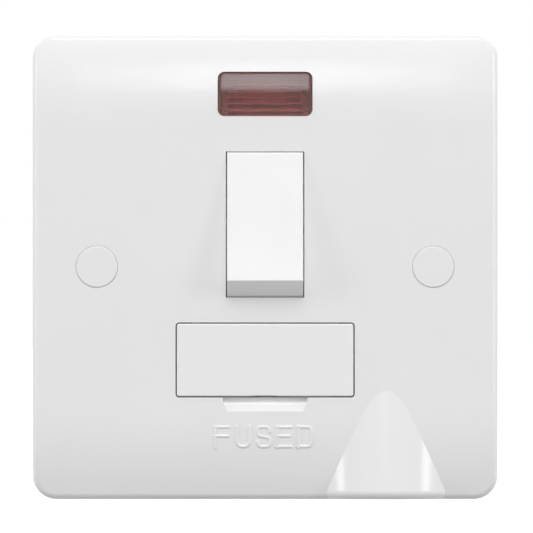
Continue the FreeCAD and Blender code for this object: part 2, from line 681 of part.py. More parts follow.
def rear_housing():
    body = new_body("rear_housing")
    side, top = "housing_width / 2", "housing_height / 2"
    item = front_sketch(body, "housing_back", "outside")
    rounded_rectangle(item, f"-{side}", side, f"-{top}", top, "housing_corner")
    pad(body, item, f"housing_back - {UNDERSIDE}", "shell")

    def back_edge(edge):
        return near(edge.BoundBox.YMin, "housing_back")
    soften(body, "Fillet", "housing_edge", back_edge, "back_round")
    item = front_sketch(body, UNDERSIDE, "inside")
    rounded_rectangle(item, f"-{CAVITY_SIDE}", CAVITY_SIDE, f"-{CAVITY_TOP}", CAVITY_TOP,
                      "housing_corner - housing_wall")
    pocket(body, item, f"{BACK_WALL} - {UNDERSIDE}", "hollow")

    # The bay that the fuse carrier slides in, with a groove each side for its barbs.
    item = front_sketch(body, f"{BAY_END} + bay_floor", "bay_outside")
    rectangle(item, f"-{BAY_HALF} - bay_wall", f"{BAY_HALF} + bay_wall",
              f"-{CAVITY_TOP} - embed", f"{BAY_HIGH} + bay_wall")
    pad(body, item, f"{BAY_END} + bay_floor - {UNDERSIDE}", "bay")
    item = front_sketch(body, UNDERSIDE, "bay_inside")
    rectangle(item, f"-{BAY_HALF}", BAY_HALF, BAY_LOW, BAY_HIGH)
    pocket(body, item, f"{BAY_END} - {UNDERSIDE}", "bay_hollow")
    item = front_sketch(body, UNDERSIDE, "barb_grooves")
    groove = f"({BAY_HALF} + barb_rise + carrier_gap)"
    rectangle(item, f"-{groove}", groove, "carrier_centre - barb_width / 2 - carrier_gap",
              "carrier_centre + barb_width / 2 + carrier_gap")
    pocket(body, item, f"{BAY_END} - {UNDERSIDE}", "barb_groove")
    item = front_sketch(body, BAY_END, "clip_slots")
    for hand in SIDES:
        rectangle(item, f"{hand} * clip_offset - clip_width / 2 - seat_gap",
                  f"{hand} * clip_offset + clip_width / 2 + seat_gap",
                  "carrier_centre - clip_thick / 2 - seat_gap",
                  "carrier_centre + clip_thick / 2 + seat_gap")
    pocket(body, item, "bay_floor + overrun", "clip_slot")

    # The switch chamber: a wall each side, a barrier between the poles, and posts that close
    # the bearing slots behind the rocker's trunnions.
    item = front_sketch(body, f"{BACK_WALL} + embed", "chamber")
    for hand in SIDES:
        inner, outer = "chamber_inside", "(chamber_inside + chamber_wall)"
        left, right = span(hand, inner, outer)
        rectangle(item, left, right, "chamber_low", "chamber_high")
    rectangle(item, "-pole_barrier / 2", "pole_barrier / 2", "chamber_low", "chamber_high + strip_width * 2")
    pad(body, item, f"{BACK_WALL} + embed - chamber_front", "chamber_walls")
    item = front_sketch(body, f"{BACK_WALL} + embed", "keepers")
    for hand in SIDES:
        inner, outer = "cheek_inside", "trunnion_reach"
        left, right = span(hand, inner, outer)
        rectangle(item, left, right, "rocker_centre - keeper_width / 2", "rocker_centre + keeper_width / 2")
    pad(body, item, f"{BACK_WALL} + embed - ({PIVOT} + trunnion / 2 + pivot_play)", "keeper_posts")
    item = front_sketch(body, "chamber_front - overrun", "strip_slots")
    rectangle(item, "-trunnion_reach", "-chamber_inside + embed", f"{STRIP_LOW} - seat_gap * 3",
              f"{STRIP_LOW} + strip_width + seat_gap * 3")
    rectangle(item, "chamber_inside - embed", "trunnion_reach", f"{STRIP_LOW} - seat_gap * 3",
              f"{STRIP_LOW} + strip_width + seat_gap * 3")
    pocket(body, item, f"{STRIP_BACK} - chamber_front + overrun", "strip_slot")

    # Pedestals that carry the stamped strips, rising from the back wall.
    item = front_sketch(body, f"{BACK_WALL} + embed", "pedestals")
    for hand in SIDES:
        low, high = f"{hand} * pole_offset - bar_width / 2", f"{hand} * pole_offset + bar_width / 2"
        rectangle(item, low, high, "rocker_centre - strip_width", "rocker_centre + fulcrum_round * 2")
        rectangle(item, low, high, "rocker_centre + contact_arm - contact_width / 2",
                  "rocker_centre + contact_arm + contact_width / 2")
        rectangle(item, f"{hand} * clip_offset - clip_width / 2", f"{hand} * clip_offset + clip_width / 2",
                  "carrier_centre - strip_width / 2", "carrier_centre + strip_width / 2")
    pad(body, item, f"{BACK_WALL} + embed - {STRIP_BACK}", "pedestal")

    # Pockets for the terminals: shelves and ribs behind the strips.
    item = front_sketch(body, f"{BACK_WALL} + embed", "terminal_ribs")
    shelf = "(block_centre - block_height / 2 - seat_gap)"
    inner_edge = "(block_inner - block_width / 2 - seat_gap)"
    split = "(block_inner + block_outer) / 2"
    beside = "(block_outer - block_width / 2 - seat_gap)"
    for hand in SIDES:
        left, right = span(hand, f"{inner_edge} - rib_wall", f"{CAVITY_SIDE} + embed")
        rectangle(item, left, right, f"{shelf} - rib_wall", shelf)
        left, right = span(hand, f"{beside} - rib_wall", f"{CAVITY_SIDE} + embed")
        rectangle(item, left, right, f"-{shelf}", f"-{shelf} + rib_wall")
    pad(body, item, f"{BACK_WALL} + embed - {STRIP_BACK} - seat_gap", "terminal_shelves")
    item = front_sketch(body, f"{BACK_WALL} + embed", "terminal_sides")
    for hand in SIDES:
        for near_edge, far_edge in ((f"{inner_edge} - rib_wall", inner_edge),
                                    (f"{split} - rib_wall / 2", f"{split} + rib_wall / 2")):
            left, right = span(hand, near_edge, far_edge)
            rectangle(item, left, right, f"{shelf} - rib_wall / 2", f"{CAVITY_TOP} + embed")
        left, right = span(hand, f"{beside} - rib_wall", beside)
        rectangle(item, left, right, f"-{CAVITY_TOP} - embed", f"-{shelf} + rib_wall / 2")
    pad(body, item, f"{BACK_WALL} + embed - {STRIP_BACK} - seat_gap", "terminal_walls")

    # Posts for the screws that hold the housing to the plate.
    item = front_sketch(body, f"{BACK_WALL} + embed", "posts")
    for hand in SIDES:
        circle(item, f"{hand} * post_offset", "post_height", "post_width / 2")
    pad(body, item, f"{BACK_WALL} + embed + post_front", "post")
    item = front_sketch(body, "-post_front", "post_bores")
    for hand in SIDES:
        circle(item, f"{hand} * post_offset", "post_height", "post_bore / 2")
    pocket(body, item, "housing_back + post_front", "post_hole")
    item = front_sketch(body, "housing_back", "post_heads")
    for hand in SIDES:
        circle(item, f"{hand} * post_offset", "post_height", "housing_head / 2 + cap_gap")
    pocket(body, item, "housing_head_rise + seat_gap", "post_head", back=True)

    # Wire entries in the top and bottom walls, and driver holes over the terminal screws.
    for end, places in ((1, ("block_inner", "block_outer")), (-1, ("block_outer",))):
        item = top_sketch(body, f"{end} * (housing_height / 2 + overrun)", "entries")
        for spot in places:
            for hand in SIDES:
                circle(item, f"{hand} * {spot}", WIRE, "entry_hole / 2")
        pocket(body, item, "housing_wall + overrun * 1.5", "wire_entry", back=end < 0)
        item = front_sketch(body, "housing_back", "drivers")
        for spot in places:
            for hand in SIDES:
                circle(item, f"{hand} * {spot}", f"{end} * block_centre", "driver_hole / 2")
        pocket(body, item, "housing_wall", "driver_access", back=True)

    # The tray above the switch that holds the neon lamp, with a notch for each lead.
    item = front_sketch(body, "-tray_rise", "tray")
    rectangle(item, "-tray_width / 2", "tray_width / 2", f"{top} - embed / 2", f"{top} + tray_height")
    pad(body, item, "tray_depth", "tray_block")
    item = front_sketch(body, "-tray_rise - tray_depth", "tray_inside")
    rectangle(item, "-tray_width / 2 + tray_wall", "tray_width / 2 - tray_wall",
              f"{top} + tray_wall", f"{top} + tray_height - tray_wall")
    pocket(body, item, "tray_depth - tray_floor", "tray_hollow")
    item = front_sketch(body, UNDERSIDE, "lead_notches")
    for hand in SIDES:
        rectangle(item, f"{hand} * (lamp_length / 2 + lead_bend) - lead",
                  f"{hand} * (lamp_length / 2 + lead_bend) + lead",
                  f"{CAVITY_TOP} - embed", f"{top} + tray_wall + embed")
    pocket(body, item, f"-tray_rise - tray_floor - {UNDERSIDE}", "lead_notch")
    return body


def rocker():
    # Modelled level, with its pivot at the body's origin.
    body = new_body("rocker")
    face = "-(pivot_depth + rocker_proud)"
    r, f, w = value("rocker_radius"), value(face), value("dish_radius")
    skirt = value("-rocker_skirt")
    item = side_sketch(body, "0", "profile")
    top = math.sqrt(r * r - f * f)
    upper = line(item, (f, top), (f, 0))
    # The hollow lower half meets the end arc where the two circles cross.
    spread = abs(f - w)
    angle = math.acos((spread**2 + w**2 - r**2) / (2 * spread * w))
    low = Vector(f - w + w * math.cos(angle), -w * math.sin(angle), 0)
    dish = arc(item, (f - w, 0), w, 360 - math.degrees(angle), 360)
    turn = math.degrees(math.atan2(low.y, low.x)) % 360
    skirt_turn = math.degrees(math.acos(skirt / r))
    bottom_end = arc(item, (0, 0), r, turn, 360 - skirt_turn)
    reach = r * math.sin(math.radians(skirt_turn))
    half, deep = value("hub_height / 2"), value("hub_length / 2")
    spots = [(skirt, -reach), (skirt, -reach / 2), (deep, -half), (deep, half), (skirt, reach / 2),
             (skirt, reach)]
    under = [line(item, spots[i], spots[i + 1]) for i in range(5)]
    top_end = arc(item, (0, 0), r, skirt_turn, math.degrees(math.atan2(top, f)))
    join(item, upper, 2, dish, 2, smooth=True)
    join(item, dish, 1, bottom_end, 1)
    join(item, bottom_end, 2, under[0], 1)
    for i in range(4):
        join(item, under[i], 2, under[i + 1], 1)
    join(item, under[4], 2, top_end, 1)
    join(item, top_end, 2, upper, 1)
    item.addConstraint(Sketcher.Constraint("Vertical", upper))
    pin(item, upper, 2, face, "0")
    dimension(item, "Radius", (dish,), "dish_radius")
    for end in (top_end, bottom_end):
        pin(item, end, 3, "0", "0")
        dimension(item, "Radius", (end,), "rocker_radius")
    edge = "sqrt(rocker_radius ^ 2 - rocker_skirt ^ 2)"
    pin(item, under[0], 1, across="-rocker_skirt")
    pin(item, under[0], 2, "-rocker_skirt", f"-{edge} / 2")
    pin(item, under[2], 1, "hub_length / 2", "-hub_height / 2")
    pin(item, under[2], 2, "hub_length / 2", "hub_height / 2")
    pin(item, under[4], 1, "-rocker_skirt", f"{edge} / 2")
    pin(item, under[4], 2, across="-rocker_skirt")
    pad(body, item, "rocker_width", "moulding", middle=True)

    def front_edge(edge):
        box = edge.BoundBox
        return box.YMax < value(f"{face} + 0.5") and box.YMin < value(f"{face} + 0.05")
    soften(body, "Fillet", "rocker_edge", front_edge, "edge_round")
    item = front_sketch(body, "hub_length", "inside")
    inner = "(rocker_width / 2 - rocker_wall)"
    rectangle(item, f"-{inner}", inner, f"-{edge} + rocker_wall", f"{edge} - rocker_wall")
    pocket(body, item, f"hub_length + pivot_depth + rocker_proud - rocker_wall", "hollow", back=True)

    # The axle, and a barrel for each pole's plunger and spring.
    item = side_sketch(body, "0", "axle")
    circle(item, "0", "0", "trunnion / 2")
    pad(body, item, "trunnion_reach * 2", "trunnions", middle=True)
    item = front_sketch(body, "barrel_reach", "barrels")
    for side in SIDES:
        circle(item, f"{side} * pole_offset", "0", "barrel / 2")
    pad(body, item, "barrel_reach + pivot_depth + rocker_proud - rocker_wall / 2", "barrel_pads")
    item = front_sketch(body, "barrel_reach", "bores")
    for side in SIDES:
        circle(item, f"{side} * pole_offset", "0", "barrel / 2 - barrel_wall")
    pocket(body, item, "barrel_reach + pivot_depth - rocker_wall / 2", "bore", back=True)
    place(body, "0", PIVOT, "rocker_centre", REST, Vector(-1, 0, 0))
    return body


def plunger(label, side):
    # A round-nosed pin: half of its section, revolved about the pin's axis.
    body = new_body(label)
    item = top_sketch(body, "0", "section")
    r, nose, back = (value(text) for text in ("plunger / 2", "plunger_reach", "plunger_reach - plunger_length"))
    edge = line(item, (r, nose - r), (r, back))
    base = line(item, (r, back), (0, back))
    axis = line(item, (0, back), (0, nose))
    tip = arc(item, (0, nose - r), r, 0, 90)
    join(item, edge, 2, base, 1)
    join(item, base, 2, axis, 1)
    join(item, axis, 2, tip, 2)
    join(item, tip, 1, edge, 1, smooth=True)
    pin(item, edge, 1, "plunger / 2", "plunger_reach - plunger / 2")
    pin(item, edge, 2, "plunger / 2", "plunger_reach - plunger_length")
    pin(item, axis, 1, "0", "plunger_reach - plunger_length")
    pin(item, axis, 2, "0", "plunger_reach")
    made = feature(body, "Revolution", item, "pin")
    made.ReferenceAxis = (item, ["V_Axis"])
    place(body, f"{side} * pole_offset", PIVOT, "rocker_centre", REST, Vector(-1, 0, 0))
    return body


def plunger_spring(label, side):
    # A compression coil between the closed end of the barrel and the plunger.
    body = new_body(label)
    item = top_sketch(body, "0", "wire")
    closed_end = "(pivot_depth - rocker_wall / 2)"
    circle(item, "plunger / 2 - spring_wire / 2", f"-{closed_end} + spring_wire / 2 + seat_gap / 2",
           "spring_wire / 2")
    made = feature(body, "AdditiveHelix", item, "coil")
    made.ReferenceAxis = (item, ["V_Axis"])
    made.Mode = "height-turns-angle"
    bind(made, "Height", f"{closed_end} - (plunger_length - plunger_reach) - spring_wire - seat_gap")
    bind(made, "Turns", "spring_turns")
    place(body, f"{side} * pole_offset", PIVOT, "rocker_centre", REST, Vector(-1, 0, 0))
    return body


def contact_bar(label, side):
    # A see-saw that rocks on its fulcrum, with a contact at its upper end.
    body = new_body(label)
    item = front_sketch(body, "0", "bar")
    rounded_rectangle(item, "-bar_width / 2", "bar_width / 2", "-bar_length / 2", "bar_length / 2",
                      "bar_width / 4")
    pad(body, item, "bar_thick", "strip")
    item = side_sketch(body, "0", "seat")
    circle(item, "0", "0", "fulcrum_round + fulcrum_play")
    pocket(body, item, "bar_width * 2", "fulcrum_seat", middle=True)
    item = front_sketch(body, "0", "contact")
    circle(item, "0", "contact_arm", "contact_width / 2")
    pad(body, item, "contact_rise", "contact_button", back=True)
    place(body, f"{side} * pole_offset", FULCRUM, "rocker_centre", REST)
    return body


def strip(label, corners):
    # A flat stamping in the plane of the strips.
    body = new_body(label)
    item = front_sketch(body, STRIP_BACK, "stamping")
    outline(item, corners)
    pad(body, item, "strip_thick", "stamping_pad")
    return body


def supply_strip(label, side):
    inner, outer = "(pole_offset - bar_width / 2)", "(pole_offset + bar_width / 2)"
    contact = "(rocker_centre + contact_arm)"
    block_edge = "(block_outer - block_width / 2)"
    block_end = "(block_outer + block_width / 2)"
    low = f"{contact} - contact_width"
    body = strip(label, [
        (f"{side} * {inner}", low),
        (f"{side} * {block_end}", low),
        (f"{side} * {block_end}", "block_centre"),
        (f"{side} * {block_edge}", "block_centre"),
        (f"{side} * {block_edge}", contact),
        (f"{side} * {outer}", contact),
        (f"{side} * {outer}", f"{contact} + contact_width / 2 + seat_gap * 3"),
        (f"{side} * {inner}", f"{contact} + contact_width / 2 + seat_gap * 3"),
    ])
    item = front_sketch(body, STRIP_FRONT, "contact")
    circle(item, f"{side} * pole_offset", contact, "contact_width / 2")
    pad(body, item, f"{STRIP_FRONT} - {CONTACT}", "contact_button")
    return body


def fulcrum(body, side):
    # The upright whose rounded edge the contact bar rocks on.
    item = side_sketch(body, f"{side} * pole_offset", "upright")
    arch(item, FULCRUM, "rocker_centre", "fulcrum_round", STRIP_BACK, "left")
    pad(body, item, "bar_width", "upright_pad", middle=True)


def live_strip():
    # From the live pole down behind the fuse carrier to the left fuse clip.
    inner, outer = "(pole_offset - bar_width / 2)", "(pole_offset + bar_width / 2)"
    tab = "(trunnion_reach + lead * 2)"
    low = "(carrier_centre - strip_width / 2)"
    high = "(carrier_centre + strip_width / 2)"
    clip_end = "-(clip_offset + clip_width / 2)"
    body = strip("live_strip", [
        (inner, "rocker_centre + fulcrum_round * 2"),
        (inner, high),
        (clip_end, high),
        (clip_end, low),
        (outer, low),
        (outer, STRIP_LOW),
        (tab, STRIP_LOW),
        (tab, f"{STRIP_LOW} + strip_width"),
        (outer, f"{STRIP_LOW} + strip_width"),
        (outer, "rocker_centre + fulcrum_round * 2"),
    ])
    fulcrum(body, 1)
    return body


def neutral_strip():
    # From the neutral pole round the fuse carrier to the neutral load terminal.
    inner, outer = "-(pole_offset - bar_width / 2)", "-(pole_offset + bar_width / 2)"
    near_edge = "-(clip_offset + clip_width / 2 + strip_space)"
    far_edge = "-(clip_offset + clip_width / 2 + strip_space + strip_width)"
    block_top = "(block_height / 2 - block_centre)"
    body = strip("neutral_strip", [
        (inner, STRIP_LOW),
        (inner, "rocker_centre + fulcrum_round * 2"),
        (outer, "rocker_centre + fulcrum_round * 2"),
        (outer, f"{STRIP_LOW} + strip_width"),
        (far_edge, f"{STRIP_LOW} + strip_width"),
        (far_edge, f"{block_top} - rib_wall"),
        ("-block_outer - strip_width / 2", f"{block_top} - rib_wall"),
        ("-block_outer - strip_width / 2", f"{block_top} - rib_wall - strip_width"),
        (near_edge, f"{block_top} - rib_wall - strip_width"),
        (near_edge, STRIP_LOW),
    ])
    fulcrum(body, -1)
    return body


def load_strip():
    left, right = "clip_offset - clip_width / 2", "block_outer + strip_width / 2"
    high = "carrier_centre + strip_width / 2"
    low = "block_height / 2 - block_centre - strip_width"
    return strip("load_strip", [(left, low), (right, low), (right, high), (left, high)])


def earth_strap():
    end = "(block_inner + block_width / 2)"
    low, high = "block_centre - strip_width / 2", "block_centre + strip_width / 2"
    return strip("earth_strap", [(f"-{end}", low), (end, low), (end, high), (f"-{end}", high)])


def fuse_clip(label, side):
    # Two sprung fingers that take the fuse's end cap, on a stem through the floor of the bay.
    body = new_body(label)
    gap = "(fuse_width / 2 + clip_gap)"
    grip = f"({gap} + clip_thick)"
    mouth = f"{FUSE} - clip_reach"
    web = f"({FUSE} + fuse_width / 2 + fuse_front)"
    centre = "carrier_centre"
    item = side_sketch(body, f"{side} * clip_offset", "profile")
    outline(item, [
        (mouth, f"{centre} + {grip}"),
        (f"{web} + clip_thick", f"{centre} + {grip}"),
        (f"{web} + clip_thick", f"{centre} + clip_thick / 2"),
        (STRIP_FRONT, f"{centre} + clip_thick / 2"),
        (STRIP_FRONT, f"{centre} - clip_thick / 2"),
        (f"{web} + clip_thick", f"{centre} - clip_thick / 2"),
        (f"{web} + clip_thick", f"{centre} - {grip}"),
        (mouth, f"{centre} - {grip}"),
        (mouth, f"{centre} - {gap}"),
        (web, f"{centre} - {gap}"),
        (web, f"{centre} + {gap}"),
        (mouth, f"{centre} + {gap}"),
    ])
    pad(body, item, "clip_width", "clip", middle=True)
    return body


def fuse_carrier():
    body = new_body("fuse_carrier")
    side, half = "(carrier_width / 2)", "(carrier_height / 2)"
    back = f"({FACE} + carrier_length)"
    item = front_sketch(body, back, "block")
    rounded_rectangle(item, f"-{side}", side, f"carrier_centre - {half}", f"carrier_centre + {half}",
                      "carrier_corner")
    pad(body, item, "carrier_length", "moulding")

    def face_edge(edge):
        return near(edge.BoundBox.YMax, FACE)
    soften(body, "Fillet", "carrier_edge", face_edge, "face_round")
    item = front_sketch(body, back, "inside")
    rectangle(item, f"-{side} + carrier_side", f"{side} - carrier_side",
              f"carrier_centre - {half} + carrier_rail", f"carrier_centre + {half} - carrier_rail")
    pocket(body, item, "carrier_length - carrier_face", "hollow", back=True)

    # The fuse lifts out through the top once the carrier is drawn forward.
    item = top_sketch(body, f"carrier_centre + {half} + overrun", "window")
    rectangle(item, "-fuse_length / 2 - fuse_front", "fuse_length / 2 + fuse_front",
              f"{FACE} + carrier_face", f"{FUSE} + fuse_width / 2 + fuse_front")
    pocket(body, item, "overrun + carrier_rail + seat_gap", "fuse_window")
    for hand in SIDES:
        item = side_sketch(body, f"{hand} * saddle_offset", "saddle")
        rectangle(item, f"{FACE} + carrier_face - embed", f"{FUSE} + fuse_width / 2",
                  f"carrier_centre - {half} + carrier_rail - embed", "carrier_centre")
        pad(body, item, "saddle_wall", "saddle_rib", middle=True)
    item = side_sketch(body, "0", "saddle_seat")
    circle(item, FUSE, "carrier_centre", "ceramic_width / 2 + seat_gap")
    pocket(body, item, "(saddle_offset + saddle_wall) * 2", "saddle_hollow", middle=True)

    # Barbs that stop the carrier against the back of the plate.
    item = front_sketch(body, f"{UNDERSIDE} + carrier_travel + seat_gap + barb_length", "barbs")
    for hand in SIDES:
        left, right = f"{side} - embed", f"{side} + barb_rise"
        if hand < 0:
            left, right = f"-{side} - barb_rise", f"-{side} + embed"
        rectangle(item, left, right, "carrier_centre - barb_width / 2", "carrier_centre + barb_width / 2")
    pad(body, item, "barb_length", "barb_pads")

    # The shallow arched notch over the pry recess.
    item = front_sketch(body, FACE, "notch")
    radius = "((notch_width ^ 2 / 4 + notch_height ^ 2) / (2 * notch_height))"
    circle(item, "0", f"carrier_centre - {half} + notch_height - {radius}", radius)
    pocket(body, item, "carrier_face / 2", "pry_notch")
    return body


def fuse_tube():
    # The ceramic body, necked at the ends to take the caps.
    body = new_body("fuse_tube")
    item = side_sketch(body, "0", "neck")
    circle(item, FUSE, "carrier_centre", "ceramic_width / 2 - clip_thick")
    pad(body, item, "fuse_length - clip_thick * 2", "neck_pad", middle=True)
    item = side_sketch(body, "0", "barrel")
    circle(item, FUSE, "carrier_centre", "ceramic_width / 2")
    pad(body, item, "fuse_length - fuse_cap * 2", "barrel_pad", middle=True)
    return body


def fuse_caps():
    pattern = new_body("cap_pattern")
    item = side_sketch(pattern, "0", "outside")
    circle(item, "0", "0", "fuse_width / 2")
    pad(pattern, item, "fuse_cap", "cup", back=True)

    def outer_rim(edge):
        return near(edge.BoundBox.XMin, "0") and near(edge.BoundBox.XMax, "0")
    soften(pattern, "Fillet", "clip_thick / 2", outer_rim, "cup_round")
    item = side_sketch(pattern, "-clip_thick", "inside")
    circle(item, "0", "0", "ceramic_width / 2 - clip_thick")
    pocket(pattern, item, "fuse_cap", "cup_hollow")
    return group("fuse_caps", pattern, [
        ("fuse_length / 2", FUSE, "carrier_centre"),
        ("-fuse_length / 2", FUSE, "carrier_centre", "180", Vector(0, 0, 1)),
    ])


def neon_lens():
    # A moulded lens whose face follows the band, with a lug each side behind the plate.
    body = new_body("neon_lens")
    side, half = "(lens_width / 2)", "(lens_height / 2)"
    item = front_sketch(body, "lens_thick", "outline")
    rounded_rectangle(item, f"-{side}", side, f"-{half}", half, "lens_corner")
    pad(body, item, "lens_thick + lens_proud + overrun", "window")
    item = side_sketch(body, "0", "face")
    crest = "(band_radius + lens_proud)"
    rectangle(item, "-lens_proud - overrun", "band_radius * 2 + lens_proud + overrun",
              f"-{crest} - overrun", f"{crest} + overrun")
    circle(item, "band_radius", "0", crest)
    pocket(body, item, "lens_width * 2", "crowned_face", middle=True)

    def face_edge(edge):
        return edge.BoundBox.YMax < 0
    soften(body, "Fillet", "lens_proud * 1.5", face_edge, "face_round")
    item = front_sketch(body, "lens_thick + lug_thick", "lugs")
    rectangle(item, f"-{side} - lug_reach", f"{side} + lug_reach", f"-{half} + lens_corner",
              f"{half} - lens_corner")
    pad(body, item, "lug_thick", "lug_plate")

    # Diffusing grooves across the back.
    item = front_sketch(body, "lens_thick + lug_thick", "groove")
    rectangle(item, f"-{side} + lens_margin", f"{side} - lens_margin",
              "-lens_rib_pitch * 2.5 - lens_rib / 2", "-lens_rib_pitch * 2.5 + lens_rib / 2")
    cut = pocket(body, item, "lens_rib_depth + lug_thick", "groove_cut", back=True)
    doc.recompute()
    rows = body.newObject("PartDesign::LinearPattern", "neon_lens_grooves")
    rows.Originals = [cut]
    rows.Direction = (item, ["V_Axis"])
    bind(rows, "Length", "lens_rib_pitch * 5")
    rows.Occurrences = 6
    body.Tip = rows
    depth = f"{FACE} + {fall('band_radius', FLAT_HIGH, 'lens_centre')}"
    place(body, "0", depth, "lens_centre", LENS_SLOPE, Vector(-1, 0, 0))
    return body


LAMP = "(-tray_rise - tray_floor - fuse_front - lamp_width / 2)"
LEAD_DROP = "(lamp_length / 2 + lead_bend)"
LEAD_SIDE = "(trunnion_reach + lead)"


def neon_lamp():
    # A sealed glass tube with domed ends.
    body = new_body("neon_lamp")
    item = side_sketch(body, "0", "section")
    circle(item, LAMP, "lens_centre", "lamp_width / 2")
    pad(body, item, "lamp_length", "glass", middle=True)
    soften(body, "Fillet", "lamp_width / 2 - seat_gap * 2", lambda edge: edge.BoundBox.XLength < 0.01, "domes")
    return body


def bent_wire(places, bend, radius):
    # A round wire along straight runs joined by tangent arcs.
    points = [Vector(*(value(text) for text in place_of)) for place_of in places]
    edges = []
    start = points[0]
    for before, corner, after in zip(points, points[1:], points[2:]):
        inward, outward = (corner - before).normalize(), (after - corner).normalize()
        turn = inward.getAngle(outward)
        trim = value(bend) * math.tan(turn / 2)
        first, last = corner - inward * trim, corner + outward * trim
        middle = (outward - inward).normalize()
        centre = corner + middle * (value(bend) / math.cos(turn / 2))
        edges.append(Part.LineSegment(start, first).toShape())
        edges.append(Part.Arc(first, centre - middle * value(bend), last).toShape())
        start = last
    edges.append(Part.LineSegment(start, points[-1]).toShape())
    path = Part.Wire(edges)
    section = Part.Wire(Part.makeCircle(value(radius), points[0], points[1] - points[0]))
    return path.makePipe(Part.Face(section))


def lead_shapes(side, resistor):
    # From the lamp through the notch, back past the rocker's pivot and down to the strip.
    drop, run = f"{side} * {LEAD_DROP}", f"{side} * {LEAD_SIDE}"
    passing = "(chamber_front + lead * 2)"
    tail = f"({STRIP_LOW} + strip_width / 2)"
    upper = [
        (f"{side} * (lamp_length / 2 + seat_gap)", LAMP, "lens_centre"),
        (drop, LAMP, "lens_centre"),
        (drop, LAMP, f"{CAVITY_TOP} - lead * 2"),
        (run, passing, "rocker_centre + rocker_radius - lead_bend * 3"),
    ]
    lower = [(run, passing, tail), (run, STRIP_FRONT, tail)]
    if not resistor:
        return [bent_wire(upper + lower, "lead_bend", "lead / 2")]
    top, bottom = "(rocker_centre + resistor_length)", "rocker_centre"
    return [
        bent_wire(upper + [(run, passing, top)], "lead_bend", "lead / 2"),
        bent_wire([(run, passing, bottom)] + lower, "lead_bend", "lead / 2"),
    ]


def neon_leads():
    made = doc.addObject("Part::Feature", "neon_leads")
    made.Label = "neon_leads"
    made.Shape = Part.makeCompound(lead_shapes(-1, False) + lead_shapes(1, True))
    return made


def neon_resistor():
    body = new_body("neon_resistor")
    item = top_sketch(body, "rocker_centre", "section")
    circle(item, LEAD_SIDE, "chamber_front + lead * 2", "resistor_width / 2")
    pad(body, item, "resistor_length", "rod")
    soften(body, "Fillet", "resistor_width / 4", lambda edge: edge.BoundBox.ZLength < 0.01, "ends")
    return body


def terminal(label, across, height):
    # A brass block with a wire bore up through it and a clamping screw from the back.
    body = new_body(label)
    depth = f"({BACK_WALL} - {STRIP_BACK})"
    item = front_sketch(body, depth, "block")
    rectangle(item, "-block_width / 2", "block_width / 2", "-block_height / 2", "block_height / 2")
    pad(body, item, depth, "brass")
    soften(body, "Chamfer", "block_bevel",
           lambda edge: edge.BoundBox.YLength > 0.9 * edge.Length, "corner_bevel")
    item = top_sketch(body, "0", "bore")
    circle(item, "0", "wire_depth", "wire_bore / 2")
    pocket(body, item, "block_height * 2", "wire_hole", middle=True)
    item = front_sketch(body, depth, "thread")
    circle(item, "0", "0", "terminal_screw / 2 + seat_gap / 2")
    pocket(body, item, f"{depth} - wire_depth", "screw_hole", back=True)
    place(body, across, STRIP_BACK, height)
    return body


def fixing_screw_pattern():
    # A captive screw: sunk head, thin neck and full shank. The origin is on its head.
    body = new_body("fixing_screw_pattern")
    neck_end = "(plate_depth - cap_depth - boss_rise + neck_play)"
    end = "(plate_depth - cap_depth + fixing_reach)"
    item = top_sketch(body, "0", "profile")
    outline(item, [
        ("0", "0"),
        ("screw_head / 2", "0"),
        ("fixing_neck / 2", "(screw_head - fixing_neck) / 2"),
        ("fixing_neck / 2", neck_end),
        ("fixing_screw / 2", neck_end),
        ("fixing_screw / 2", end),
        ("0", end),
    ])
    made = feature(body, "Revolution", item, "turned")
    made.ReferenceAxis = (item, ["V_Axis"])
    return body


def screw_pattern(label, head, rise, shank, length):
    # A slotted pan-head screw with its shank toward -Y. The origin is under its head.
    body = new_body(label)
    item = front_sketch(body, "0", "shank")
    circle(item, "0", "0", f"{shank} / 2")
    pad(body, item, length, "shank_pad")
    item = front_sketch(body, rise, "head")
    circle(item, "0", "0", f"{head} / 2")
    pad(body, item, rise, "head_pad")

    def top_edge(edge):
        return near(edge.BoundBox.YMin, rise)
    soften(body, "Chamfer", f"{rise} / 4", top_edge, "head_bevel")
    item = front_sketch(body, rise, "slot")
    rectangle(item, f"-{head}", head, "-slot_width / 2", "slot_width / 2")
    pocket(body, item, "slot_depth", "slot_cut", back=True)
    return body


def screws():
    length = f"({BACK_WALL} - {WIRE} - wire_bore / 2 + seat_gap / 2)"
    pattern = screw_pattern("terminal_screw_pattern", "terminal_head", "terminal_head_rise",
                            "terminal_screw", length)
    spots = [(f"{side} * {across}", f"{BACK_WALL} + seat_gap", f"{end} * block_centre")
             for side in SIDES
             for across, end in (("block_inner", 1), ("block_outer", 1), ("block_outer", -1))]
    made = [group("terminal_screws", pattern, spots)]

    depth = "(housing_back - housing_head_rise - seat_gap)"
    pattern = screw_pattern("housing_screw_pattern", "housing_head", "housing_head_rise",
                            "housing_screw", f"{depth} + post_front + housing_screw_bite")
    spots = [(f"{side} * post_offset", depth, "post_height") for side in SIDES]
    made.append(group("housing_screws", pattern, spots))

    depth = "(clamp_thick - clamp_front)"
    pattern = screw_pattern("clamp_screw_pattern", "clamp_head", "clamp_head_rise",
                            "clamp_screw", f"{depth} + clamp_front + clamp_screw_bite")
    spots = [(f"{HOOD} + {side} * clamp_pitch / 2", depth, CLAMP) for side in SIDES]
    made.append(group("clamp_screws", pattern, spots))

    spots = [(f"{side} * fixing_pitch / 2", f"{FACE} + cap_depth", "0") for side in SIDES]
    made.append(group("fixing_screws", fixing_screw_pattern(), spots))
    return made


